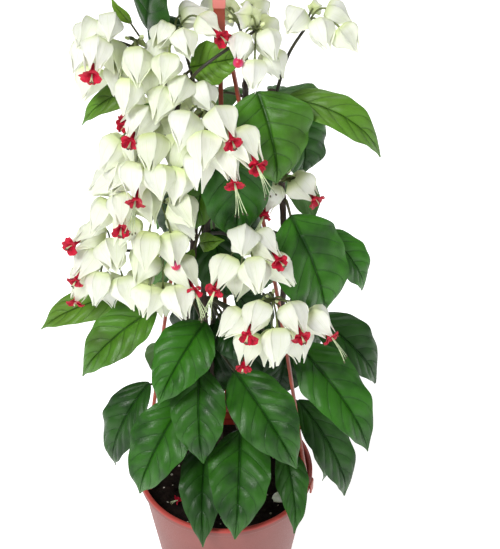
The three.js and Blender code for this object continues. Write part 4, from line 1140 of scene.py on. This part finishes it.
class VINE_OT_soil(Operator):
    """Soil with a crumbly mounded top, lumps and perlite, and what has fallen on it"""
    bl_idname = "vine.soil"
    bl_label = "Soil"

    def execute(self, context):
        """A turned body that fills the pot, rings of ground drawn in to the middle, and rough
        balls strewn evenly over it."""
        low = POT["floor"] + GAP
        edge = inner_radius(SOIL["level"]) - GAP - 0.4
        sides = SOIL["sides"]
        foot = inner_radius(low) - GAP - 0.4
        body = lathe([(0.6, low), (foot, low), (edge - 0.3, SOIL["level"] - 6)], sides)
        reach = edge * np.linspace(1, 0.01, 62)[:, None]
        x, y = reach * np.cos(turns(sides)), reach * np.sin(turns(sides))
        lofts = [solid_loft(np.concatenate([body, np.stack([x, y, self.top(x, y, edge)], -1)]))]
        luck = np.random.default_rng(SEEDS["lumps"])
        for paint_index, (count, least, most) in enumerate((SOIL["lumps"], SOIL["specks"])):
            for _ in range(count):
                r = edge * 0.94 * math.sqrt(luck.uniform())
                spot = r * level(luck.uniform(0, 2 * math.pi))
                spot = spot + UP * self.top(spot[0], spot[1], edge)
                lump = luck.uniform(least, most)
                way = unit(luck.normal(size=3) + (0.01, 0, 0))
                made = ball(spot, way, lump, 2.1 * lump * luck.uniform(0.8, 1.5), 5, 7, paint_index)
                made[0][...] += luck.uniform(-0.2, 0.2, made[0].shape) * lump
                lofts.append(made)
        build("soil_ground", lofts, ("potting_soil", "perlite"), ("soil",))
        self.fallen()
        return {"FINISHED"}

    def top(self, x, y, edge):
        """The soil's height: the mound, a half cosine from the middle to the edge, with crumbs of
        three sizes that fade at the wall."""
        r = np.hypot(x, y) / edge
        crumbs = sum(height * rough_field(x, y, cell, seed) for height, cell, seed in zip(
            (0.9, 0.7, 0.55), (9, 4, 1.9), SEEDS["crumbs"]))
        hump = SOIL["mound"] * (0.5 + 0.5 * np.cos(math.pi * np.clip(r, 0, 1)))
        fade = 1 - 0.6 * smooth(r, 0.9, 1)
        return SOIL["level"] + hump + 0.5 * size("crumb_height") * (crumbs - 0.4) * fade

    def fallen(self):
        """A calyx lobe lying cupped, its half width a sine and its height a parabola each way, and
        a spent corolla on its side with its stamens."""
        spot, turn = FALLEN["calyx"]
        e = level(math.radians(turn))
        t, s = grid(16, 9)
        half = 6 * np.sin(math.pi * (0.06 + 0.92 * t) ** 0.8) ** 0.9
        rise = 1 + 0.5 * half * s ** 2 + 2.6 * (2 * t - 1) ** 2 + 0.7 * np.sin(6 * t + 4 * s)
        skin = np.array(spot) + shift(17 * (t - 0.5), e) + shift(s * half, beside(e)) + shift(rise, UP)
        build("fallen_lobe", [sheet(skin, 0.45, s, t, along=0.25 + 0.75 * t)], WHITE[:1])
        spot, turn = FALLEN["corolla"]
        axis = unit(level(math.radians(turn)) + 0.12 * UP)
        u, v = across(axis)
        luck = np.random.default_rng(SEEDS["fallen"])
        mouth = np.array(spot) + 2.2 * UP
        lofts = corolla_lofts(mouth, axis, u, v, luck, 0.62)
        lofts += stamen_lofts(mouth, axis, v, STAMENS["fallen"], luck)
        build("fallen_corolla", lofts, BRIGHT[:3])


class VINE_OT_stems(Operator):
    """Woody stems that swell where stalks leave them"""
    bl_idname = "vine.stems"
    bl_label = "Stems"

    def execute(self, context):
        """Tubes along the routes, thicker near the soil and at each joint by a bell curve, with
        a ripple of three sines round and along the bark."""
        for stem, (name, radius, route) in enumerate(STEMS):
            path = spline(route, 170)
            z = path[:, 2]
            joints = sorted({row[2] for row in (*LEAVES, *SPRAYS) if row[1] == stem})
            swelling = sum(np.exp(-((z - at) / STEM["joint"]) ** 2) for at in joints)
            (foot, *low), (top, *high) = STEM["foot"], STEM["top"]
            girth = radius * (1 + foot * (1 - smooth(z, *low)) - top * smooth(z, *high))
            rings = tube(path, girth + size("stem_swelling") * np.minimum(swelling, 1), STEM["sides"])
            angle, z = turns(STEM["sides"])[None, :], z[:, None]
            ripple = (0.12 * np.sin(3 * angle + 0.13 * z + stem) + 0.1 * np.sin(5 * angle - 0.31 * z)
                      + 0.08 * np.sin(0.9 * z + 2 * angle))
            rings = rings + shift(ripple, unit(rings - path[:, None]))
            build(f"{name}_bark", [solid_loft(rings)], ("bark",), (name,))
        return {"FINISHED"}


class VINE_OT_leaves(Operator):
    """Quilted leaves on their stalks, one piece for each joint of a stem"""
    bl_idname = "vine.leaves"
    bl_label = "Leaves"

    def execute(self, context):
        """Numbers the blades of the nodes and then the extra ones, which gives each its form."""
        number = itertools.count()
        blades = {node: [(blade, next(number)) for blade in own] for node, _, _, _, *own in LEAVES}
        for node, extra in EXTRA_BLADES.items():
            blades[node] += [(blade, next(number)) for blade in extra]
        for node, stem, at, tone, *own in LEAVES:
            root, inside = stalk_root(stem, at, [blade[0] for blade in own], PETIOLE["root"])
            lofts = []
            for blade, index in blades[node]:
                lofts += leaf_lofts(node, stem, tone, root, inside, blade, index)
            build(f"{node}_blades", lofts, ("leaf_blade", "leaf_stalk"), (node,))
        return {"FINISHED"}


class VINE_OT_sprays(Operator):
    """Sprays of flowers: white calyces on their stalks, and the coloured parts they carry"""
    bl_idname = "vine.sprays"
    bl_label = "Flower sprays"

    def execute(self, context):
        """A main stalk from the stem to each hub, and from the hub its bracts and flowers."""
        blooms = settled()
        for number, (node, stem, at, via, hub, *_) in enumerate(SPRAYS):
            luck = np.random.default_rng(SEEDS["spray"] + number)
            root, inside = stalk_root(stem, at, [via], STALK["peduncle"])
            hub = np.array(hub, float)
            path = np.vstack([inside, spline([root, via, hub], 24)])
            radius = np.concatenate([[1.0], np.linspace(STALK["peduncle"], 1.05, 24)])
            white, bright = [rod(path, radius, 10, 2), *bract_lofts(hub, luck)], []
            for bloom in (bloom for bloom in blooms if bloom[0] == node):
                plain, coloured = flower_lofts(bloom, luck)
                white += plain
                bright += coloured
            build(f"{node}_calyces", white, WHITE, (node,))
            if bright:
                build(f"{node}_corollas", bright, BRIGHT, (node,))
        return {"FINISHED"}


class VINE_OT_stage(Operator):
    """Pale floor, soft studio light and the camera"""
    bl_idname = "vine.stage"
    bl_label = "Stage"

    def execute(self, context):
        """A square floor, a round lamp for each row of LIGHTS, turned from its place to its aim,
        a white sky, and the camera."""
        scene = context.scene
        scene.view_settings.view_transform = "Standard"
        mesh = bpy.data.meshes.new("studio_floor")
        corners = [(x * FLOOR, y * FLOOR, 0) for x, y in ((-1, -1), (1, -1), (1, 1), (-1, 1))]
        mesh.from_pydata(corners, [], [(0, 1, 2, 3)])
        mesh.materials.append(finish("studio_floor"))
        floor = self.put(scene, "studio_floor", mesh)
        for name, spot, aim, wide, watts in LIGHTS:
            lamp = bpy.data.lights.new(f"studio_{name}", "AREA")
            lamp.shape = "DISK"
            lamp.size = wide
            lamp.energy = watts
            x, y, z = np.array(aim, float) - np.array(spot)
            turn = (math.atan2(math.hypot(x, y), -z), 0, math.atan2(y, x) - math.pi / 2)
            self.put(scene, f"studio_{name}", lamp, spot, turn)
        scene.world = bpy.data.worlds.new("studio_sky")
        scene.world.use_nodes = True
        tree = scene.world.node_tree
        seen = step(tree, "LightPath").outputs["Is Camera Ray"]
        feed(tree, tree.nodes["Background"], {
            "Color": (1, 1, 1, 1), "Strength": times(tree, seen, SKY["seen"], SKY["light"])})
        lens = bpy.data.cameras.new("studio_camera")
        lens.sensor_width = CAMERA["sensor"]
        lens.lens = CAMERA["focal_pixels"] * CAMERA["sensor"] / max(CAMERA["image"])
        lens.clip_end = CAMERA["reach"]
        turn = (math.radians(CAMERA["tilt"]), 0, 0)
        scene.camera = self.put(scene, "studio_camera", lens, CAMERA["place"], turn)
        return {"FINISHED"}

    def put(self, scene, name, data, spot=(0, 0, 0), turn=(0, 0, 0)):
        """Links an object with that data, place and turn."""
        made = bpy.data.objects.new(name, data)
        made.location = spot
        made.rotation_euler = turn
        scene.collection.objects.link(made)
        return made


class VINE_PT_tools(Panel):
    """Lists the pieces and their sizes and colours"""
    bl_idname = "VINE_PT_tools"
    bl_label = "Bleeding heart vine"
    bl_space_type = "VIEW_3D"
    bl_region_type = "UI"
    bl_category = "Vine"

    def draw(self, context):
        """A button for each operator and a field for each property."""
        for made in PIECES:
            self.layout.operator(made.bl_idname)
        for group in (context.scene.vine_sizes, context.scene.vine_colours):
            for name in group.bl_rna.properties.keys():
                if name not in {"rna_type", "name"}:
                    self.layout.prop(group, name)


PIECES = (VINE_OT_pot, VINE_OT_hanger, VINE_OT_soil, VINE_OT_stems, VINE_OT_leaves, VINE_OT_sprays,
          VINE_OT_stage)
CLASSES = (VineSizes, VineColours, *PIECES, VINE_PT_tools)


def register():
    """Registers the classes and gives the scene its sizes and colours."""
    for made in CLASSES:
        bpy.utils.register_class(made)
    bpy.types.Scene.vine_sizes = PointerProperty(type=VineSizes)
    bpy.types.Scene.vine_colours = PointerProperty(type=VineColours)


def unregister():
    """Takes back what register gave."""
    del bpy.types.Scene.vine_colours
    del bpy.types.Scene.vine_sizes
    for made in reversed(CLASSES):
        bpy.utils.unregister_class(made)


def main():
    """Makes every piece."""
    register()
    bpy.ops.vine.pot()
    bpy.ops.vine.hanger()
    bpy.ops.vine.soil()
    bpy.ops.vine.stems()
    bpy.ops.vine.leaves()
    bpy.ops.vine.sprays()
    bpy.ops.vine.stage()


if __name__ == "__main__":
    main()
